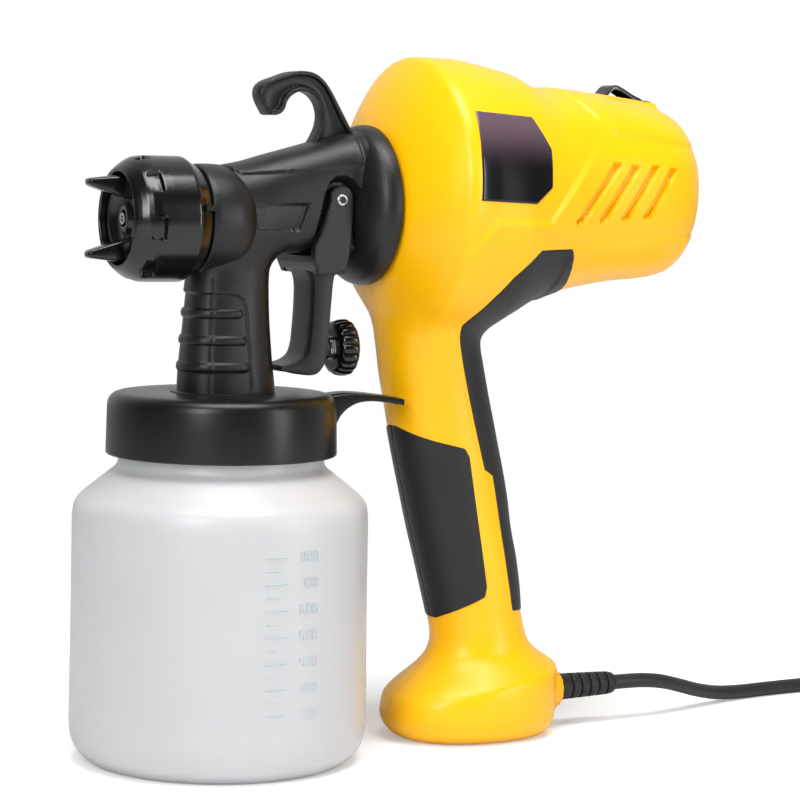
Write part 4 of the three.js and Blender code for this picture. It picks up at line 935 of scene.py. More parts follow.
    def normal(self, p: Array, step: float = 0.05) -> Array:
        """Outward unit normals, from central differences of the field.

        Args:
            p: points in millimetres, the coordinates last.
            step: how far apart the field is read.

        Returns:
            One unit vector for each point.
        """
        offsets = np.eye(3) * step
        slope = np.stack([self(p + o) - self(p - o) for o in offsets], -1)
        return slope / np.maximum(np.linalg.norm(slope, axis=-1, keepdims=True), 1e-9)


@dataclass
class Spine:
    """A bent line inside the housing, with a section plane at each station.

    Stations run from the rear pole through the barrel, fan round the inner corner of the pistol shape, and go down
    the handle to the sole. At each one `centre` is a point inside, `out` the direction in the plane away from the
    corner, and `lean` how far the rays lean towards the pole `axis`.
    """

    corner: tuple[float, float] = (135.0, 160.0)

    def stations(self, rear: int, barrel: int, fan: int, grip: int, sole: int) -> dict[str, Array]:
        """Lays out the stations.

        Args:
            rear: how many turn from the rear pole.
            barrel: how many follow the barrel.
            fan: how many go round the corner.
            grip: how many go down the handle, 145 mm in all.
            sole: how many turn to the sole's pole.

        Returns:
            By name, for each station: centre, out, axis, lean in radians, and limit, the longest ray.
        """
        ox, oz = self.corner
        tilt = 90 * (1 - np.linspace(0, 1, rear, endpoint=False)) ** 1.5
        x = np.linspace(172, 135, barrel, endpoint=False)
        turn = np.radians(np.linspace(90, 180, fan, endpoint=False))
        z = np.linspace(160, 15, grip, endpoint=False)
        down = np.linspace(0, 90, sole)
        reach = np.interp(np.degrees(turn), [90, 112, 135, 160, 180], [55.5, 60, 62, 55, 47])
        middle = through(HousingForm().handle_rows, z)[:, 0]
        centre = np.vstack(
            [
                np.tile([172.0, 217.0], (rear, 1)),
                np.stack([x, np.interp(x, [135, 172], [215.5, 217])], -1),
                np.stack([ox + reach * np.cos(turn), oz + reach * np.sin(turn)], -1),
                np.stack([middle, z], -1),
                np.tile([110.5, 15.0], (sole, 1)),
            ]
        )
        out = np.vstack(
            [
                np.tile([0.0, 1.0], (rear + barrel, 1)),
                np.stack([np.cos(turn), np.sin(turn)], -1),
                np.tile([-1.0, 0.0], (grip + sole, 1)),
            ]
        )
        axis = np.vstack(
            [
                np.tile([1.0, 0.0], (rear + barrel + fan, 1)),
                np.tile([0.0, -1.0], (grip + sole, 1)),
            ]
        )
        lean = np.radians(np.concatenate([tilt, np.zeros(barrel + fan + grip), down]))
        limit = np.concatenate([np.full(rear + barrel, 72.0), reach * 0.985, np.full(grip + sole, 60.0)])
        return {"centre": centre, "out": out, "axis": axis, "lean": lean, "limit": limit}


@dataclass
class Housing:
    """Two moulded halves, the right one pierced for its screws, and the screw wells."""

    form: HousingForm = field(default_factory=HousingForm)
    spine: Spine = field(default_factory=Spine)
    rim: float = 2.8
    gap: float = 0.05
    wells: tuple = ((112, 255), (186, 241), (186, 192), (87, 150), (112.6, 34))
    well: float = 4.3
    well_floor: float = 8.0

    def angles(self, count: int) -> Array:
        """Angles from the outer seam to the inner one: closer together on the flank and at both seams.

        Args:
            count: about how many are wanted.

        Returns:
            The angles in radians, from 0 to pi.
        """
        t = np.linspace(0, 1, count)
        even = math.pi * t - 0.12 * np.sin(4 * math.pi * t)
        edge = np.array([0.003, 0.008, 0.014])
        middle = even[(even > 0.022) & (even < math.pi - 0.022)]
        return np.concatenate([[0.0], edge, middle, math.pi - edge[::-1], [math.pi]])

    def half(self, side: Side) -> bpy.types.Object:
        """One half shell: rays from the spine meet the form, and the rim turns inwards.

        Args:
            side: which half.

        Returns:
            The object.
        """
        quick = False
        counts = (26, 36, 70, 60, 20) if quick else (76, 70, 124, 112, 36)
        stations = self.spine.stations(*counts)
        phi = self.angles(74 if quick else 140)
        out, axis = (np.insert(stations[k], 1, 0.0, 1)[:, None, :] for k in ("out", "axis"))
        across = np.array([0.0, side.value, 0.0])
        radial = np.cos(phi)[None, :, None] * out + np.sin(phi)[None, :, None] * across
        lean = stations["lean"][:, None, None]
        ray = np.cos(lean) * radial + np.sin(lean) * axis
        start = np.insert(stations["centre"], 1, 0.0, 1)[:, None, :] + np.zeros_like(ray)
        inward = np.maximum(-(radial * out).sum(-1), 0.0) * (stations["lean"][:, None] == 0)
        limit = stations["limit"][:, None] / np.maximum(inward, 1e-3)
        longest = np.where(stations["lean"] > 0, 72.0, np.maximum(stations["limit"], 140))
        skin = cast(self.form, start, ray, np.minimum(limit, longest[:, None]))
        skin[:, [0, -1], 1] = side.value * self.gap
        rim = [skin[:, k] - self.rim * radial[:, k] for k in (0, -1)]
        for edge in rim:
            edge[:, 1] = side.value * self.gap
        grid = np.concatenate([rim[0][:, None], skin, rim[1][:, None]], 1)
        piece = build(f"shell_{side.name.lower()}", [Patch(grid, flip=side is Side.LEFT)], crease=50, weld=0.004)
        if side is Side.RIGHT:
            self.pierce(piece)
        return piece

    def pierce(self, piece: bpy.types.Object) -> None:
        """Opens a round hole for each screw: near points move onto its circle and the points inside go.

        Args:
            piece: the right-hand shell, which is changed.
        """
        bm = bmesh.new()
        bm.from_mesh(piece.data)
        co = np.array([v.co for v in bm.verts]) / MM
        gone = np.zeros(len(co), bool)
        for x, z in self.wells:
            d = np.hypot(co[:, 0] - x, co[:, 2] - z)
            near = (np.abs(d - self.well) < 0.8) & (co[:, 1] > self.well_floor)
            gone |= (d <= self.well - 0.8) & (co[:, 1] > self.well_floor)
            scale = np.where(near, self.well / np.maximum(d, 1e-6), 1)
            co[:, 0], co[:, 2] = x + (co[:, 0] - x) * scale, z + (co[:, 2] - z) * scale
        bmesh.ops.delete(bm, geom=[v for v, out in zip(bm.verts, gone) if out], context="VERTS")
        bm.to_mesh(piece.data)
        bm.free()
        piece.data.vertices.foreach_set("co", (co[~gone] * MM).astype(np.float32).ravel())
        piece.data.update()

    def liners(self) -> list[Patch]:
        """Walls and floors of the screw wells, each with a flat rim that follows the skin.

        Returns:
            One patch for each well.
        """
        sides = 60
        a = circle(sides)
        made = []
        for x, z in self.wells:
            rows = []
            for r, lift in ((1.0, -0.25), (0.9, 0.05), (0.0, 0.06), (-0.25, -0.3)):
                start = np.stack([x + (self.well + r) * np.cos(a), 0 * a, z + (self.well + r) * np.sin(a)], -1)
                skin = cast(self.form, start, np.broadcast_to([0.0, 1.0, 0.0], start.shape), np.full(sides, 80.0))
                rows.append(skin + np.array([0, lift, 0]))
            for r, y in ((self.well - 0.3, 9.2), (self.well - 0.5, 8.3), (0.05, 8.3)):
                rows.append(np.stack([x + r * np.cos(a), 0 * a + y, z + r * np.sin(a)], -1))
            made.append(Patch(np.stack(rows), closed=True, flip=True))
        return made

    def make(self, finishes: Finishes) -> None:
        """Builds and dresses the housing.

        Args:
            finishes: the materials.
        """
        for side in Side:
            node = f"housing_{side.name.lower()}"
            enter(self.half(side), finishes.yellow, "turbine_unit", "yellow_shell", node)
        enter(build("screw_wells", self.liners()), finishes.yellow, "turbine_unit", "yellow_shell")


# ---------------------------------------------------------------- rubber grips, label and switch


@dataclass
class Grips:
    """Two soft grips let into the handle: the housing's own form lifted a little, with rolled edges."""

    form: HousingForm = field(default_factory=HousingForm)
    lift: float = 0.45
    roll: float = 1.0
    # stations along the barrel, round the corner and down the handle
    barrel: int = 20
    fan: int = 180
    down: int = 290
    front_outline: tuple = (
        (40, 134.9), (73.8, 124.3), (95.4, 116.5), (97.6, 113.2), (107.3, 61.5), (106.6, 57.4), (100.5, 53.2),
        (92, 48), (40, 44),
    )
    rear_outline: tuple = (
        (130.4, 188), (129.6, 192.2), (127.4, 194.7), (110.9, 194.2), (100.1, 183.9), (94, 174.8), (88.4, 164.5),
        (99.3, 125.1), (104.4, 107.6), (108.8, 104.9), (119.9, 50.4), (170, 46), (170, 150), (145, 170), (143, 178),
        (137, 182.6), (132.6, 185),
    )

    def raised(self, skin: Array, outline: tuple) -> Array:
        """Moves skin points along the form's normal: the lift inside, and a quarter-round down at the outline.

        Args:
            skin: points on the housing.
            outline: the grip's (x, z) corners.

        Returns:
            The moved points.
        """
        normal = self.form.normal(skin, 0.3)
        inside = np.clip(outline_distance(outline, skin[..., 0], skin[..., 2]), 0, self.roll)
        drop = self.roll - np.sqrt(self.roll**2 - (self.roll - inside) ** 2)
        return skin + normal * (self.lift - 1.3 * drop)[..., None]

    def edge_angle(self, skin: Array, phi: Array, outline: tuple, from_back: bool) -> Array:
        """Finds where each station's ring of skin points crosses the outline.

        Args:
            skin: points on the housing, a ring of them for each station.
            phi: their angles.
            outline: the grip's (x, z) corners.
            from_back: whether the seam inside the outline is the one behind.

        Returns:
            One angle for each station.
        """
        depth = outline_distance(outline, skin[..., 0], skin[..., 2])
        order = slice(None, None, -1) if from_back else slice(None)
        depth, angle = depth[:, order], phi[order]
        first = np.argmax(depth < 0, axis=1)
        first = np.where((depth < 0).any(1), np.maximum(first, 1), 1)
        rows = np.arange(len(depth))
        a, b = depth[rows, first - 1], depth[rows, first]
        share = np.clip(a / np.where(a - b == 0, 1, a - b), 0, 1)
        return angle[first - 1] + (angle[first] - angle[first - 1]) * share

    def shape(self, centre: Array, out: Array, limit: Array, phi: Array) -> Array:
        """Casts rays from the spine onto the housing.

        Args:
            centre: where each ray starts, as (x, z).
            out: its station's direction, as (x, z).
            limit: the longest ray at that station.
            phi: its angle from that direction.

        Returns:
            The points on the skin.
        """
        ray = np.stack([np.cos(phi) * out[..., 0], np.sin(phi), np.cos(phi) * out[..., 1]], -1)
        start = np.stack([centre[..., 0], np.zeros(phi.shape), centre[..., 1]], -1)
        inward = np.maximum(-np.cos(phi), 1e-3)
        reach = np.minimum(limit / inward, np.where(np.cos(phi) < 0, 140, 60))
        return cast(self.form, start, ray, reach)

    def columns(self) -> Array:
        """Places across a grip, from edge to edge as -1 to 1, closer together at the edges."""
        w = np.linspace(-1, 1, 121)
        return np.sign(w) * (1 - (1 - np.abs(w)) ** 1.35)

    def patch(self, ends: tuple[Array, Array], inner: bool, outline: tuple) -> Patch:
        """Lays a grid over one grip.

        Args:
            ends: the first and the last station of each column.
            inner: whether the grip covers the seam behind.
            outline: the grip's (x, z) corners.

        Returns:
            The grip's surface.
        """
        line = self.line()
        half_angle = self.edges(line, outline, inner)
        rows = 190
        u, w = spread(rows), self.columns()
        at = ends[0][None] + (ends[1] - ends[0])[None] * u[:, None]
        index = np.arange(len(line["limit"]))
        centre, out = (
            np.stack([np.interp(at, index, line[k][:, c]) for c in (0, 1)], -1) for k in ("centre", "out")
        )
        limit = np.interp(at, index, line["limit"])
        across = w[None] * np.interp(at, index, half_angle)
        phi = (math.pi - across) if inner else across
        skin = self.shape(centre, out, limit, phi)
        sunk = np.zeros(rows)
        sunk[[0, 1, 2, -1, -2, -3]] = (1.0, 0.35, 0.1) * 2
        return Patch(self.raised(skin, outline) - self.form.normal(skin, 0.3) * sunk[:, None, None], flip=inner)

    def line(self) -> dict[str, Array]:
        """Spine stations from the barrel down to the foot, fine enough to read between them."""
        return Spine().stations(0, self.barrel, self.fan, self.down, 0)

    def station(self, z: Array) -> Array:
        """The place of a height in the handle, counted in stations of the line."""
        return self.barrel + self.fan + (160 - z) / 145 * self.down

    def edges(self, line: dict, outline: tuple, inner: bool) -> Array:
        """Edge angle at every station of the line, measured from the seam that the grip covers.

        Args:
            line: the stations.
            outline: the grip's (x, z) corners.
            inner: whether the grip covers the seam behind.

        Returns:
            The angles in radians.
        """
        phi = np.linspace(0, math.pi, 181)
        grid = np.broadcast_to(phi, (len(line["limit"]), len(phi)))
        centre, out = (np.repeat(line[k][:, None], len(phi), 1) for k in ("centre", "out"))
        skin = self.shape(centre, out, np.repeat(line["limit"][:, None], len(phi), 1), grid)
        angle = self.edge_angle(skin, phi, outline, inner)
        return math.pi - angle if inner else angle

    def rear(self) -> Patch:
        """The grip along the back of the handle and round under the head.

        Returns:
            The surface.
        """
        w = np.abs(self.columns())
        first = np.interp(w, [0, 0.35, 0.6, 0.8, 0.93, 1], [17, 17.6, 20.5, 30, 38, 44])
        foot = np.interp(w, [0, 1], [47.2, 50.4])
        return self.patch((self.station(foot), first), True, self.rear_outline)

    def front(self) -> Patch:
        """The grip round the front of the handle, with sloping ends.

        Returns:
            The surface.
        """
        w = np.abs(self.columns())
        top = np.interp(w, [0, 0.3, 0.55, 0.8, 1], [128.4, 127.0, 124.0, 119.4, 116.4])
        bottom = np.interp(w, [0, 0.5, 0.75, 0.9, 1], [46.3, 47.2, 50.8, 54.6, 57.5])
        return self.patch((self.station(top), self.station(bottom)), False, self.front_outline)

    def make(self, finishes: Finishes) -> None:
        """Builds and dresses both grips.

        Args:
            finishes: the materials.
        """
        for end, patch in (("front", self.front()), ("rear", self.rear())):
            piece = build(f"grip_{end}", [patch], crease=60)
            enter(piece, finishes.rubber, "turbine_unit", "grip_rubber", f"{end}_grip")


@dataclass
class LabelPlate:
    """Bare self-adhesive plate on the left flank, following the drum's curve."""

    form: HousingForm = field(default_factory=HousingForm)
    left: tuple = ((80, 212.4), (80.6, 228.8), (82.1, 245.7))
    right: tuple = ((105.8, 211.4), (114, 217.7), (114.6, 232.1), (107.9, 244.1))
    corners: tuple = (0.0, 0.19, 0.63, 1.0)

    def make(self, finishes: Finishes) -> None:
        """Casts a grid between both edges onto the flank, lifts it 0.4 mm and rolls its rim down.

        Args:
            finishes: the materials.
        """
        s, w = spread(60), spread(60)
        x0, z0 = (np.interp(s, np.linspace(0, 1, 3), [v[k] for v in self.left]) for k in (0, 1))
        x1, z1 = (np.interp(s, self.corners, [v[k] for v in self.right]) for k in (0, 1))
        x = x0[:, None] + (x1 - x0)[:, None] * w
        z = z0[:, None] + (z1 - z0)[:, None] * w
        start = np.stack([x, 0 * x, z], -1)
        skin = cast(self.form, start, np.broadcast_to([0.0, -1.0, 0.0], start.shape), np.full(x.shape, 80.0))
        rim = np.minimum(np.minimum(s, 1 - s)[:, None], np.minimum(w, 1 - w)[None])
        lift = np.where(rim <= 0, -0.3, 0.42 - 0.2 * (1 - ramp(rim, 0.012)))
        piece = build("label_film", [Patch(skin + self.form.normal(skin, 0.3) * lift[..., None])])
        enter(piece, finishes.film, "turbine_unit", "label", "label_plate")


@dataclass
class Switch:
    """Rocker switch: a low bezel that follows the housing's slope, and a rocker with its front end up."""

    middle: tuple[float, float] = (171.4, 252.3)
    slope: float = math.radians(4.8)
    length: float = 26.0
    width: float = 15.4
    key_half: float = 4.8
    # along the slope and above it
    key_outline: tuple = (
        (-9.0, -2.2), (-8.9, 1.5), (-7.8, 3.0), (-6.0, 5.2), (-4.8, 6.0), (-3.2, 6.2), (-1.0, 5.6), (2.0, 4.4),
        (5.0, 3.2), (8.0, 2.3), (9.2, 1.6), (9.7, 0.4), (9.6, -2.2),
    )

    def place(self, s: Array, y: Array, h: Array) -> Array:
        """Points from distance along the slope, across and above it."""
        c, d = math.cos(self.slope), math.sin(self.slope)
        return np.stack(np.broadcast_arrays(self.middle[0] + s * c + h * d, y, self.middle[1] - s * d + h * c), -1)

    def bezel(self) -> Patch:
        """A frame: rounded rectangles of falling size carried from the skin up, over the rim and down inside.

        Returns:
            The surface.
        """
        rows = [(0.2, -2.0), (0, 0.6), (0.25, 1.1), (0.7, 1.35), (2.0, 1.5), (2.5, 1.35), (2.7, 1.0), (2.8, -2.4)]
        u, v = squircle(160, 7)
        grid = [self.place((self.length / 2 - e) * u, (self.width / 2 - e) * v, h + 0 * u) for e, h in rows]
        return Patch(np.stack(grid), closed=True, flip=True)

    def rocker(self) -> Patch:
        """The rocker's side outline carried across, with its edges rounded off over the last millimetre.

        Returns:
            The surface.
        """
        line = even(refine(self.key_outline, 6), 110)
        across = np.array([-1, -0.998, -0.97, -0.92, -0.84, -0.5, 0, 0.5, 0.84, 0.92, 0.97, 0.998, 1]) * self.key_half
        down = np.array([1.6, 0.7, 0.25, 0.08, 0, 0, 0, 0, 0, 0.08, 0.25, 0.7, 1.6])
        top = np.clip((line[:, 1] + 2.2) / 3.0, 0, 1)[:, None]
        dish = 0.35 * np.exp(-(((line[:, 0] - 2) / 4) ** 2))[:, None] * (1 - (across / self.key_half) ** 2)
        s = line[:, :1] * (1 - 0.03 * down)
        return Patch(self.place(s, across[None] + 0 * s, line[:, 1:] - down * top - dish), flip=True)

    def make(self, finishes: Finishes) -> None:
        """Builds and dresses bezel and rocker.

        Args:
            finishes: the materials.
        """
        bezel, key = build("switch_bezel", [self.bezel()], crease=45), build("switch_key", [self.rocker()], crease=45)
        enter(bezel, finishes.black, "turbine_unit", "black_body", "switch_case")
        enter(key, finishes.gloss, "rocker", "gloss_black", "switch_rocker")


@dataclass
class Springs:
    """The two return springs, wound as helices between the ends of their CAD forms."""

    wire: float = 0.45

    def helix(self, node: str, turns: float) -> Patch:
        """A round wire carried along a helix about the node's own axis, wound closer at its ends.

        Args:
            node: the CAD spring.
            turns: how many times it is wound.

        Returns:
            The wire's surface.
        """
        low, high = (np.array(v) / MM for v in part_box(node))
        middle, radius = (low + high) / 2, (high[2] - low[2]) / 2 - self.wire
        t = np.linspace(0, 1, int(turns * 26))
        a = 2 * math.pi * turns * t
        rise = low[0] + self.wire + (high[0] - low[0] - 2 * self.wire) * ramp(t - 0.06, 0.88) ** 0.85
        out = np.stack([0 * a, np.cos(a), np.sin(a)], -1)
        centre = np.stack([rise, middle[1] + radius * np.cos(a), middle[2] + radius * np.sin(a)], -1)
        b = circle(10)
        ring = np.cos(b)[None, :, None] * out[:, None] + np.sin(b)[None, :, None] * np.array([1.0, 0.0, 0.0])
        return Patch(centre[:, None] + self.wire * ring, closed=True, start_cap=True, end_cap=True)

    def make(self, finishes: Finishes) -> None:
        """Builds and dresses both springs.

        Args:
            finishes: the materials.
        """
        for node, body, turns in (("needle_spring", "gun", 8.0), ("knob_spring", "trigger", 4.0)):
            piece = build(f"{node}_wire", [self.helix(node, turns)], crease=60)
            enter(piece, finishes.steel, body, "steel_parts", node)


# ---------------------------------------------------------------- bottle and lid


@dataclass
class Bottle:
    """Blown bottle with its scale moulded on."""

    profile: tuple = (
        (0, 1.9), (20, 1.8), (38, 1.4), (43.5, 0.5), (46.2, 0.03), (48.6, 0.5), (50.6, 1.7), (52.7, 3.7),
        (54.4, 6.3), (55.6, 9.6), (56.15, 13.6), (56.2, 20), (56.0, 40), (55.8, 60), (55.7, 80), (55.68, 90),
        (55.5, 94), (54.9, 97), (53.7, 99.2), (52.0, 100.9), (49.2, 103.2), (45.6, 106.1), (42.2, 108.8),
        (40.2, 110.4), (39.1, 111.8), (38.7, 113.4), (38.6, 120), (38.6, 130), (36.9, 130), (36.8, 113),
        (38.2, 109.6), (47.4, 102), (53.2, 96.4), (53.9, 90), (54, 60), (54.3, 16), (52.6, 8), (48, 3.8), (40, 3.4),
        (0, 3.6),
    )
    tick_angle: float = math.radians(-92.5)
    first_tick: float = 26.0
    tick_pitch: float = 4.81
    strokes: tuple = ("abcdef", "bc", "abged", "abgcd", "fgbc", "afgcd", "afgedc", "abc", "abcdefg")

    def wall(self) -> Patch:
        """The whole wall, outside and inside, as one smooth profile turned about the bottle's axis.

        Returns:
            The surface.
        """
        sides = 192
        points = refine(self.profile, 4)
        points[:, 0] = np.maximum(points[:, 0], 0.02)
        return turned(points, sides)

    def mark(self, angle: float, level: float, length: float, height: float = 0.55, proud: float = 0.28) -> Patch:
        """A short raised bar on the wall: half-round across, with ends that run out.

        Args:
            angle: middle of the bar about the bottle's axis, in radians.
            level: height of the bar in millimetres.
            length: length along the wall in millimetres.
            height: full height of the bar.
            proud: how far it stands out.

        Returns:
            The bar's surface.
        """
        s, t = np.meshgrid(np.linspace(-1, 1, 13), np.linspace(-1, 1, 7), indexing="ij")
        radius = 56.0 - 0.004 * (level - 30) - 0.05
        bulge = proud * np.sqrt(np.clip(1 - t**2, 0, 1)) * np.clip((1 - np.abs(s)) * 6, 0, 1) ** 0.5
        a = angle + s * length / 2 / radius
        r = radius + bulge
        return Patch(np.stack([r * np.cos(a), r * np.sin(a), level + t * height / 2], -1))

    def scale(self) -> list[Patch]:
        """The moulded scale: seven long bars a hundred millilitres apart and short ones half-way, with numerals.

        Returns:
            One patch for each bar and stroke.
        """
        bars = []
        for step in range(13):
            level = self.first_tick + step * self.tick_pitch
            long = step % 2 == 0
            angle = self.tick_angle + (0 if long else -0.028)
            bars.append(self.mark(angle, level, 9.0 if long else 4.6))
            if long:
                bars += self.number(self.tick_angle + 0.24, level, f"{step // 2 + 2}00")
        return bars

    def number(self, angle: float, level: float, digits: str) -> list[Patch]:
        """Plain numerals of seven straight strokes, side by side along the wall.

        Args:
            angle: middle of the number about the bottle's axis, in radians.
            level: its height in millimetres.
            digits: its three digits, none of them a 9.

        Returns:
            One patch for each stroke.
        """
        wide, tall, pitch, radius = 1.7, 3.4, 2.9, 56.0
        flat = {"a": tall / 2, "g": 0.0, "d": -tall / 2}
        upright = {"b": (1, 1), "c": (1, -1), "e": (-1, -1), "f": (-1, 1)}
        made = []
        for place, digit in enumerate(digits):
            middle = angle + (place - 1) * pitch / radius
            for key in self.strokes[int(digit)]:
                if key in flat:
                    made.append(self.mark(middle, level + flat[key], wide, 0.42, 0.2))
                else:
                    side, half = upright[key]
                    at = middle + side * wide / 2 / radius
                    made.append(self.mark(at, level + half * tall / 4, 0.42, tall / 2, 0.2))
        return made

    def make(self, finishes: Finishes) -> None:
        """Builds and dresses the bottle.

        Args:
            finishes: the materials.
        """
        piece = build("paint_bottle", [self.wall(), *self.scale()], crease=35)
        enter(piece, finishes.milky, "bottle", "milky_bottle", "bottle")


@dataclass
class Lid:
    """Screw lid: a turned cap with a rounded rim and a flat lever moulded to its side."""

    profile: tuple = (
        (39.5, 115.9), (42.9, 115.7), (43.35, 116.1), (43.4, 117), (43.2, 126), (43.0, 134.2), (42.7, 135.8),
        (41.9, 137.2), (40.7, 138.2), (39.2, 138.75), (37.5, 138.95), (30, 139.05), (20.4, 139.1), (19.45, 138.8),
        (19.4, 138), (19.4, 136.2), (38.6, 135.9), (39.4, 135.2), (39.5, 133), (39.5, 115.9),
    )
    turn: float = math.radians(-10)
    lever_top: tuple = (
        (40.5, 138.0), (43.4, 138.4), (47, 138.7), (52, 138.6), (58, 138.0), (64, 137.2), (69.9, 136.3),
    )
    lever_bottom: tuple = (
        (40.5, 124), (43.0, 126.2), (44.6, 129.4), (47.2, 132.4), (51, 134.6), (57, 135.4), (69.9, 133.8),
    )
    half_width: float = 6.5

    def lever(self) -> Patch:
        """A bar between a top and a bottom line, with rounded corners: a superellipse carried along the two lines.

        Returns:
            The surface.
        """
        top, bottom = refine(self.lever_top, 6), refine(self.lever_bottom, 6)
        u, v = squircle(48, 7)
        middle, half = (top + bottom) / 2, (top - bottom) / 2
        x = middle[:, :1] + half[:, :1] * v
        z = middle[:, 1:] + half[:, 1:] * v
        y = np.broadcast_to(self.half_width * u, x.shape)
        c, s = math.cos(self.turn), math.sin(self.turn)
        return Patch(np.stack([x * c - y * s, x * s + y * c, z], -1), closed=True, end_cap=True, flip=True)

    def make(self, finishes: Finishes) -> None:
        """Builds and dresses the lid.

        Args:
            finishes: the materials.
        """
        ring = turned(self.profile, 200)
        enter(build("screw_lid", [ring, self.lever()], crease=35), finishes.satin, "lid", "black_body", "lid_ring")


# ---------------------------------------------------------------- spray gun


@dataclass
class GunForm:
    """Body and hand column of the spray gun as one field, in millimetres."""

    # station x: top z, bottom z, half width, power
    head_rows: tuple = (
        (-6, 222.4, 187.5, 15.4, 2.3), (6, 224.6, 187.8, 16.2, 2.4), (16, 227.3, 190.4, 16.7, 2.6),
        (32, 231.5, 191.2, 17.2, 2.8), (44, 235, 191, 17.5, 2.8), (48.6, 236.3, 189, 19, 2.6),
        (51.4, 237.6, 185.4, 23.5, 2.3), (54, 238.6, 181.4, 27.4, 2.1), (60, 239, 180, 28.6, 2.0),
    )
    # station z: centre x, half length, half width, power
    column_rows: tuple = (
        (138, 0.9, 18.9, 14.2, 2.5), (142, 0.8, 18.8, 14.1, 2.5), (150, 0.5, 18.1, 13.7, 2.5),
        (165, 0.6, 16.7, 13.1, 2.5), (176, 0.9, 15.9, 12.8, 2.5), (184, 1.4, 15.4, 13.0, 2.5),
        (192, 2.2, 16.2, 13.6, 2.5), (206, 4, 17.4, 14.2, 2.5),
    )
    ridge: tuple = (
        (-12, 223.6), (-3.2, 223.4), (1.7, 220.2), (24, 221.9), (46.3, 223.6), (48.6, 225), (49.2, 227.1),
        (49.1, 232.7), (47.4, 244), (-12, 244),
    )
    window: tuple = ((0.6, 210), (27.6, 210.4), (24, 199.6), (6.1, 199.5))
    pocket: tuple = (
        (27.6, 184), (29, 195.2), (31.5, 206.6), (32.9, 213.3), (35.0, 217.6), (38.1, 219.5), (41.0, 219.8),
        (44.5, 218.7), (47.3, 215.9), (49.3, 211.6), (50.4, 208.2), (52.6, 206.4), (53.2, 202), (52.4, 184),
    )
    front_panel: tuple = (
        (-30, 177.2), (-3.5, 176.5), (0.4, 175.9), (2.6, 174.3), (3.9, 171.2), (4.5, 164.7), (5.5, 154.6),
        (6.4, 136), (-30, 136),
    )
    rib_levels: tuple = (148.9, 158.8, 168.9)
    rib_radius: float = 1.75
    rib_rise: float = 0.95
    ridge_rise: float = 0.7
    window_depth: float = 1.9
    panel_depth: float = 0.7
    seam_depth: float = 0.3
    pocket_floor: float = 12.9

    def relief(self, p: Array) -> Array:
        """Moulded detail: the ridge panel, a wedge-shaped window, the front panel with its seam and three ribs.

        Args:
            p: points in millimetres, the coordinates last.

        Returns:
            How far the detail stands proud of the plain form there, in millimetres.
        """
        x, y, z = np.moveaxis(p, -1, 0)
        lift = self.ridge_rise * inset(self.ridge, x, z, 0.8) * ramp(x + 5, 3)
        window = self.window_depth * inset(self.window, x, z, 1.1)
        lift -= window * np.clip((x + 1) / 26, 0, 1) * (np.abs(y) > 8)
        lift -= self.panel_depth * (inset(self.front_panel, x, z, 0.8) * ramp(178 - z, 1))
        seam = self.seam_depth * np.exp(-(((x + 9.3 + 0.025 * (170 - z)) / 0.4) ** 2))
        lift -= seam * (z < 182) * (np.abs(y) > 5)
        for level in self.rib_levels:
            end = 0.6 - 0.14 * (level - self.rib_levels[-1])
            across = np.hypot(z - level, np.maximum(x - end, 0)) / self.rib_radius
            lift += self.rib_rise * np.sqrt(np.clip(1 - across**2, 0, 1)) * (1 - 0.45 * ramp(-13 - x, 4))
        return lift

    def __call__(self, p: Array) -> Array:
        """Body and column with a fillet, their relief, and the pocket for the trigger's plates.

        Args:
            p: points in millimetres, the coordinates last.

        Returns:
            The field there, negative inside.
        """
        column = column_field(self.column_rows, p, p[..., 2], self.column_rows[-1][0])
        body = blend_down(barrel_field(self.head_rows, p), column, 6.0) - self.relief(p)
        depth = outline_distance(self.pocket, p[..., 0], p[..., 2])
        floor = self.pocket_floor + 4.6 * (1 - np.clip(depth / 0.5, 0, 1))
        return np.maximum(body, np.where(depth > 0, np.abs(p[..., 1]) - floor, -99.0))


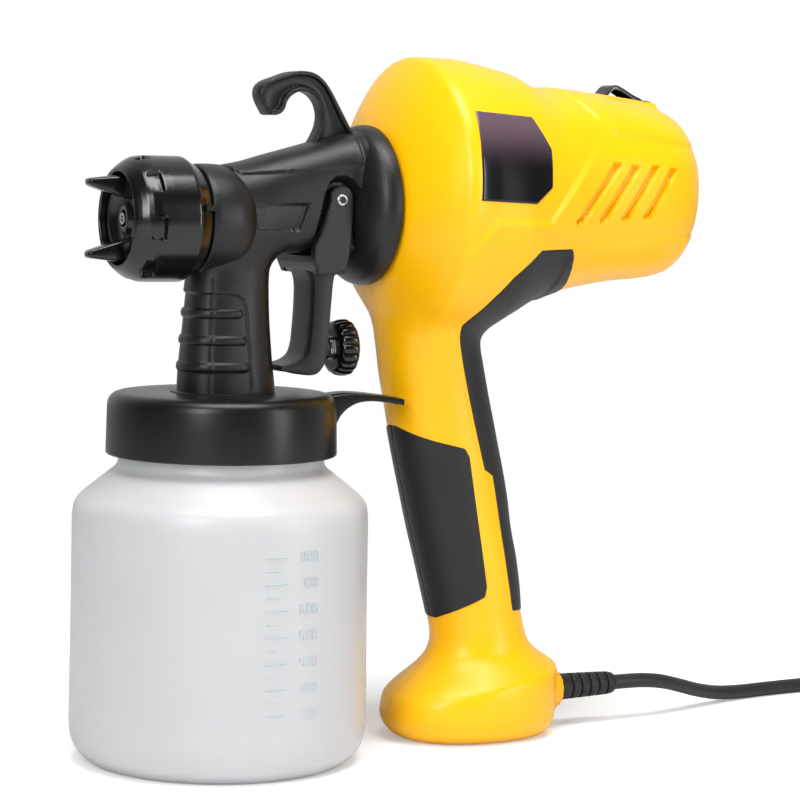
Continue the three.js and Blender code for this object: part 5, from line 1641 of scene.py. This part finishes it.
@dataclass
class Gun:
    """Spray gun: body with hook, dome and bell, and what is fixed to it."""

    form: GunForm = field(default_factory=GunForm)
    nozzle_z: float = 203.5
    bell_z: float = 209.5
    dome: tuple = (
        (-12.9, 17), (-12.9, 20.1), (-12.4, 20.5), (-9, 20.7), (-4, 20.5), (-0.5, 19.9), (2.6, 18.7), (5.2, 16.9),
        (7.4, 14), (8.8, 9), (9.2, 4),
    )
    bell: tuple = (
        (46.6, 15), (47.6, 19.5), (48.8, 23.2), (50.4, 26.4), (52.4, 28.8), (54.6, 30.1), (56.4, 30.55),
        (58.6, 30.6), (59.3, 30.4), (59.6, 29.8), (59.6, 25.2), (60.2, 24.7), (68.6, 24.7), (69, 24.3), (69, 21.4),
        (60, 20.6), (56, 14),
    )
    hook_outer: tuple = (
        (15.6, 243.1), (12.9, 247.6), (12.0, 250.6), (12.5, 253.2), (14.6, 255.2), (19.6, 257.2), (25.2, 259.1),
        (30.2, 259.6), (34.6, 258.9), (38, 256.9), (41.3, 253.2), (45.1, 247.1), (49.2, 240.2), (52.6, 234.6),
        (53.6, 231.0),
    )
    hook_inner: tuple = (
        (17.4, 242.75), (19.6, 243.0), (21.5, 244.1), (22.7, 245.9), (23.3, 247.9), (24.9, 250.0), (27.3, 251.5),
        (29.9, 252.1), (32.6, 251.6), (35.4, 249.8), (37.4, 247), (38.3, 243.6), (37.9, 239.6), (35.6, 234.6),
        (31.6, 228.6),
    )

    def shell(self) -> Patch:
        """Body and column: a full turn of rays at each station of the bent spine.

        Returns:
            The surface.
        """
        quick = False
        barrel, fan, column, around = (40, 60, 60, 150) if quick else (72, 112, 108, 264)
        x = np.linspace(54, 26, barrel, endpoint=False)
        turn = np.radians(np.linspace(90, 180, fan, endpoint=False))
        z = np.linspace(184, 138.2, column)
        reach = np.interp(np.degrees(turn), [90, 135, 180], [26.5, 27.5, 24.5])
        centre = np.vstack(
            [
                np.stack([x, np.interp(x, [26, 54], [210.5, 211.5])], -1),
                np.stack([26 + reach * np.cos(turn), 184 + reach * np.sin(turn)], -1),
                np.stack([np.full(column, 1.4), z], -1),
            ]
        )
        out = np.vstack(
            [
                np.tile([0.0, 1.0], (barrel, 1)),
                np.stack([np.cos(turn), np.sin(turn)], -1),
                np.tile([-1.0, 0.0], (column, 1)),
            ]
        )
        limit = np.concatenate([np.full(barrel, 45.0), reach * 0.985, np.full(column, 24.6)])
        phi = circle(around)
        ray = np.stack(np.broadcast_arrays(np.cos(phi) * out[:, :1], np.sin(phi), np.cos(phi) * out[:, 1:]), -1)
        start = np.insert(centre, 1, 0.0, 1)[:, None, :] + np.zeros_like(ray)
        inward = np.maximum(-np.cos(phi), 1e-3)[None]
        reach_out = np.minimum(limit[:, None] / inward, 45.0)
        return Patch(cast(self.form, start, ray, reach_out), closed=True, start_cap=True, end_cap=True)

    def hook(self) -> Patch:
        """Hanging hook: an I-section carried between its outer and inner lines, from tip to root.

        Returns:
            The surface.
        """
        count, root = 90, 3.6
        outer, inner = (even(refine(v, 8), count) for v in (self.hook_outer, self.hook_inner))
        width = np.linalg.norm(outer - inner, axis=1)[:, None]
        rim = np.minimum(1.75 / width, 0.42)
        half, web = 4.1, 1.5
        # share across in rims, or in the rest, and the half thickness there
        section = [
            (0.0, 0.0, 3.5), (0.18, 0.0, 3.95), (0.4, 0.0, half), (0.8, 0.0, half), (0.95, 0.0, 3.9),
            (1.0, 0.0, root), (1.12, 0.0, 1.9), (1.3, 0.03, web), (1.0, 0.5, 1.3), (-1.3, 0.97, web),
            (-1.12, 1.0, 1.9), (-1.0, 1.0, root),
            (-0.95, 1.0, 3.9), (-0.8, 1.0, half), (-0.4, 1.0, half), (-0.18, 1.0, 3.95), (0.0, 1.0, 3.5),
        ]
        near = np.array(section)
        in_rims, in_rest, deep = np.vstack([near * (1, 1, -1), near[::-1]]).T[:, None]
        s = np.clip(rim * in_rims + np.where(in_rest == 0.5, 0.5 - rim, in_rest), 0, 1)
        # the tip is solid: over the first six rows the web thins from the rims' thickness to its own
        fade = np.clip(np.arange(count) / 6, 0, 1)[:, None]
        thick = deep * fade + np.sign(deep) * np.maximum(np.abs(deep), root) * (1 - fade)
        x, z = (outer[:, k : k + 1] + (inner - outer)[:, k : k + 1] * s for k in (0, 1))
        return Patch(np.stack([x, thick, z], -1), closed=True, start_cap=True, flip=True)

    def collar(self) -> Patch:
        """Round neck under the column, in the lid's hole, with the disc held below the lid."""
        profile = [
            (2.2, 138.9), (18.3, 139.5), (18.95, 139.1), (19, 136), (36.4, 135.4), (36.6, 135), (36.6, 132.8),
            (4.4, 132.5), (2.2, 132.5),
        ]
        return turned(profile[::-1], 96)

    def make(self, finishes: Finishes) -> None:
        """Builds and dresses the gun's body.

        Args:
            finishes: the materials.
        """
        patches = [
            self.shell(), turned_x(refine(self.dome, 3), 128, self.nozzle_z),
            turned_x(refine(self.bell, 3), 160, self.bell_z), self.hook(), self.collar(),
            turned_x([(-12.9, 17.2), (-13.2, 17.2), (-30, 17.2)], 64, self.nozzle_z),
        ]
        enter(build("gun_shell", patches, crease=42, weld=0.004), finishes.black, "gun", "black_body", "gun_body")


@dataclass
class Nozzle:
    """Ring nut with eight recesses and the horned air cap inside it."""

    height: float = 203.5
    # x and radius, from the rear rim over the shoulder and in again
    ring_profile: tuple = (
        (-13.3, 17.6), (-13.3, 19.3), (-13.7, 19.7), (-16.9, 21.5), (-18.9, 22.75), (-19.4, 22.95), (-20, 23),
        (-24, 23), (-29, 23), (-34.6, 22.95), (-36, 22.8), (-37.4, 22.4), (-39.4, 21.4), (-41.4, 20.0),
        (-42.7, 18.9), (-43.3, 18.2), (-43.5, 17.6), (-43.3, 17.1), (-42.7, 16.9), (-36.2, 16.7), (-35.2, 18),
        (-35, 19.4),
    )
    cap_profile: tuple = (
        (-33, 15.9), (-35.2, 16.2), (-39.4, 16.3), (-40.2, 16.2), (-40.7, 15.9), (-41, 15.3), (-41, 13.2),
        (-40.4, 12.2), (-39.2, 10.4), (-38.7, 8.2), (-39.2, 6.4), (-40.2, 5.2), (-40.7, 4.6), (-40.8, 3.6),
        (-40.6, 3.1), (-38, 3.05), (-36, 3.0),
    )
    pockets: int = 8
    pocket_depth: float = 1.7
    pocket_corner: float = 1.2
    tab_angle: float = math.radians(169)

    def ring(self) -> Patch:
        """The nut's radius as a function of station and angle, with rounded pockets in its shoulder.

        Returns:
            The surface.
        """
        line = even(self.ring_profile, 150)
        a = circle(384)
        x, r = line[:, :1] + 0 * a, line[:, 1:] + 0 * a
        turn = (a * self.pockets / (2 * math.pi) + 0.34) % 1 - 0.5
        along = np.abs(x + 35.4) - 2.9
        across = np.abs(turn) * 2 * math.pi / self.pockets * 23.2 - 4.7
        bend = self.pocket_corner
        corner = np.hypot(np.maximum(along + bend, 0), np.maximum(across + bend, 0)) - bend
        deep = ramp(-np.maximum(corner, np.maximum(along, across)), 0.7)
        r = r - self.pocket_depth * deep * ((r > 18.4) & (x < -20))
        off_tab = np.abs((a - self.tab_angle + math.pi) % (2 * math.pi) - math.pi)
        r = np.where((np.abs(x + 15.4) < 2.2) & (off_tab < 0.055), np.maximum(r, 23.3), r)
        r = r * 1.012
        return Patch(np.stack([x, r * np.cos(a), self.height + r * np.sin(a)], -1), closed=True)

    def cap(self) -> list[Patch]:
        """Air cap: a dished disc with a raised centre and two horns."""
        return [turned_x(refine(self.cap_profile, 3), 128, self.height), *(self.horn(side) for side in (-1, 1))]

    def horn(self, side: int) -> Patch:
        """One horn: a rounded wedge that leans outwards, thicker at its root.

        Args:
            side: 1 for the upper horn, -1 for the lower one.

        Returns:
            The horn's surface, from its root to its tip.
        """
        t = np.linspace(0, 1, 26)
        u, v = squircle(40, 4.5)
        x = np.interp(t, [0, 0.86, 0.96, 1], [-38, -54, -54.8, -55])
        low = np.interp(t, [0, 0.5, 0.86, 1], [6.4, 9.4, 11.6, 12.6])
        high = np.interp(t, [0, 0.4, 0.86, 0.95, 1], [16.1, 15.6, 14.6, 14.2, 13.4])
        half = np.interp(t, [0, 0.86, 0.95, 1], [4.3, 3.0, 2.6, 1.6])
        z = side * ((low + high) / 2)[:, None] + ((high - low) / 2)[:, None] * v
        y = half[:, None] * u
        return Patch(np.stack([x[:, None] + 0 * z, y, self.height + z], -1), closed=True, end_cap=True)

    def make(self, finishes: Finishes) -> None:
        """Builds and dresses both pieces.

        Args:
            finishes: the materials.
        """
        for node, body, patches in (("ring_nut", "ring", [self.ring()]), ("air_cap", "cap", self.cap())):
            piece = build(f"{node}_detail", patches, crease=38, weld=0.004)
            enter(piece, finishes.gloss, body, "gloss_black", node)


@dataclass
class Trigger:
    """Trigger with its side plates, and the flow knob behind it."""

    # front line and rear line of the finger, from the pivot down to the curl
    front: tuple = (
        (36.2, 211.8), (34.6, 206.4), (32.3, 199.8), (29.6, 193.2), (29.4, 188.4), (31.3, 184.0), (32.4, 180.6),
        (32.6, 173), (32.0, 163), (31.3, 156.5), (29.8, 152.6), (26.6, 150.4), (22.4, 149.4), (20.4, 149.0),
    )
    rear: tuple = (
        (45.6, 211.8), (45.6, 206.4), (45.2, 199.8), (44.7, 194), (44.0, 189.4), (42.6, 185.2), (41.4, 181.4),
        (40.6, 173), (39.9, 163), (39.2, 155.4), (37.8, 148.8), (34.6, 145.6), (27, 145.7), (20.2, 147.2),
    )
    # the finger's section: share from front to rear, and across
    channel: tuple = (
        (0.0, 0.0), (0.0, 0.6), (0.03, 0.86), (0.1, 0.97), (0.24, 1.0), (0.6, 1.0), (0.9, 1.0), (0.98, 0.98),
        (1.0, 0.93), (1.0, 0.8), (0.97, 0.74), (0.9, 0.72), (0.5, 0.72), (0.42, 0.7), (0.38, 0.6), (0.38, 0.0),
    )
    web: tuple = (
        (29.6, 190.4), (29.3, 188.2), (30.6, 185.4), (32.6, 183.6), (42.2, 183.6), (43.4, 186), (43.6, 188.3),
    )
    # the knob's profile as x and radius
    knob_profile: tuple = (
        (45.4, 3.2), (45.4, 8.4), (45.7, 9.4), (46.4, 10.2), (48, 10.7), (50, 10.9), (51.6, 10.8), (52.5, 10.2),
        (53, 9.2), (53.1, 8.2), (53, 7.2), (52.3, 6.4), (52.2, 3), (52.2, 0.02),
    )
    knob_ribs: int = 16
    # x and z of the pin, and the height of the flow screw
    pin: tuple[float, float] = (40.7, 211.6)
    eyelet: tuple = ((1.25, 13.0), (1.25, 17.0), (1.5, 17.15), (1.85, 17.12), (2.1, 16.9), (2.1, 13.0))
    screw_z: float = 155.0

    def finger(self) -> Patch:
        """The finger piece: a rounded channel, open at the back, that curls forward at its foot.

        Returns:
            The surface.
        """
        count = 80
        front, rear = (even(refine(v[4:], 6), count) for v in (self.front, self.rear))
        k = np.linspace(0, 1, count)[:, None]
        half = 9.5 - 0.6 * np.clip(k - 0.75, 0, 1) / 0.25
        loop = np.array(self.channel)
        share, across = np.vstack([loop, (loop * (1, -1))[-2:0:-1]]).T[:, None]
        # towards the curl the channel's floor moves back until the finger is solid
        floor = (share < 0.45) & (np.abs(np.arange(share.size) - 15) < 3)
        share = share + np.where(floor, 0.97 - share, 0) * np.clip((k - 0.66) / 0.12, 0, 1)
        x, z = (front[:, c : c + 1] + (rear - front)[:, c : c + 1] * share for c in (0, 1))
        return Patch(np.stack([x, half * across, z], -1), closed=True, start_cap=True, end_cap=True, flip=True)

    def plate(self, side: int) -> Patch:
        """One side plate, from its round end at the pivot down into the finger.

        Args:
            side: the sign of Y.

        Returns:
            Its rim and its outer face.
        """
        angle = np.radians(np.linspace(20, 160, 15))
        crown = np.stack([40.7 + 5.0 * np.cos(angle), 212.0 + 4.9 * np.sin(angle)], -1)
        edge = [*crown, *(np.array(self.front[:6]) - (0.0, 0.2)), (38, 183.2), *self.rear[5::-1]]
        rim, inward = loop_round(edge, 120)
        inward /= np.linalg.norm(inward, axis=1, keepdims=True)
        # way in from the rim, and distance from the middle plane
        steps = [(0, 13.3), (0, 16.0), (0.16, 16.35), (0.5, 16.5), (1.2, 16.52), (3.2, 16.52)]
        rows = [np.insert(rim + inward * d, 1, side * y, 1) for d, y in steps]
        return Patch(np.stack(rows), closed=True, end_cap=True, flip=side > 0)

    def bridge(self) -> Patch:
        """The web that joins both plates above the finger.

        Returns:
            The surface.
        """
        rim, inward = loop_round(self.web, 60)
        inward /= np.linalg.norm(inward, axis=1, keepdims=True)
        steps = ((0.4, -16.3), (0.0, -16.0), (0.0, 16.0), (0.4, 16.3))
        rows = [np.insert(rim + inward * d, 1, y, 1) for d, y in steps]
        return Patch(np.stack(rows), closed=True, start_cap=True, end_cap=True, flip=True)

    def boss(self) -> Patch:
        """Round boss for the flow screw at the finger's foot."""
        return turned_x([(34, 5.4), (42, 5.4), (42.5, 5.0), (42.6, 3.2), (34, 3.1)], 48, self.screw_z)

    def eyelets(self) -> list[Patch]:
        """Rolled ends of the hollow pin.

        Returns:
            One patch for each end.
        """
        radius, out = np.array(self.eyelet).T[..., None]
        a = circle(48)
        x, z = self.pin[0] + radius * np.cos(a), self.pin[1] + radius * np.sin(a)
        return [Patch(np.stack([x, side * (out + 0 * a), z], -1), closed=True, flip=side < 0) for side in (-1, 1)]

    def knob(self) -> Patch:
        """Flow knob: a dished disc with rounded ribs round its rim.

        Returns:
            The surface.
        """
        line = even(refine(self.knob_profile, 4), 70)
        a = circle(288)
        x, r = line[:, :1] + 0 * a, line[:, 1:] + 0 * a
        wave = np.abs(np.cos(a * self.knob_ribs / 2)) ** 0.6
        r = r - 0.85 * (1 - wave) * ramp(r - 9.2, 1.2)
        return Patch(np.stack([x, r * np.cos(a), self.screw_z + r * np.sin(a)], -1), closed=True)

    def make(self, finishes: Finishes) -> None:
        """Builds and dresses trigger, pin and knob.

        Args:
            finishes: the materials.
        """
        plates = [self.plate(-1), self.plate(1), self.finger(), self.bridge(), self.boss()]
        for name, node, body, patches, finish, slot in (
            ("trigger_detail", "trigger", "trigger", plates, finishes.black, "black_body"),
            ("trigger_eyelet", "trigger_pin", "gun", self.eyelets(), finishes.steel, "steel_parts"),
            ("flow_knob_detail", "flow_knob", "knob", [self.knob()], finishes.gloss, "gloss_black"),
        ):
            enter(build(name, patches, crease=38), finish, body, slot, node)


# ---------------------------------------------------------------- carried-over nodes


NODE_FINISH = {
    "yellow": ("housing_left", "housing_right"),
    "black": ("gun_body", "trigger", "fan_cover", "fan_wheel", "switch_case"),
    "satin": ("lid_ring",),
    "gloss": ("ring_nut", "air_cap", "flow_knob", "switch_rocker"),
    "rubber": ("front_grip", "rear_grip", "motor_mount_front", "motor_mount_rear", "cord_bushing"),
    "film": ("label_plate",),
    "milky": ("bottle",),
    "seal": ("lid_gasket", "suction_tube", "needle_packing"),
    "brass": ("packing_nut", "spring_cap"),
    "copper": ("field_coil_upper", "field_coil_lower", "commutator"),
    "iron": ("field_core", "armature"),
    "carbon": ("brush_left", "brush_right"),
    "sheath": ("cord", "cord_coil", "plug"),
}


def dress_nodes(finishes: Finishes) -> None:
    """Gives every CAD node its own procedural finish; what isn't listed is bright steel.

    Args:
        finishes: the materials.
    """
    chosen = {name: finish for finish, names in NODE_FINISH.items() for name in names}
    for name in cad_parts:
        dress_node(name, getattr(finishes, chosen.get(name, "steel")))


def main() -> None:
    """Builds the stage, the cord and every piece, in that order."""
    logging.basicConfig(level=logging.INFO, format="%(message)s")
    Stage().make()
    finishes = Finishes()
    dress_nodes(finishes)
    Cord().make(finishes)
    for assembly in (
        Housing(), Grips(), LabelPlate(), Switch(), Bottle(), Lid(), Gun(), Nozzle(), Trigger(), Springs()
    ):
        assembly.make(finishes)


if __name__ == "__main__":
    main()
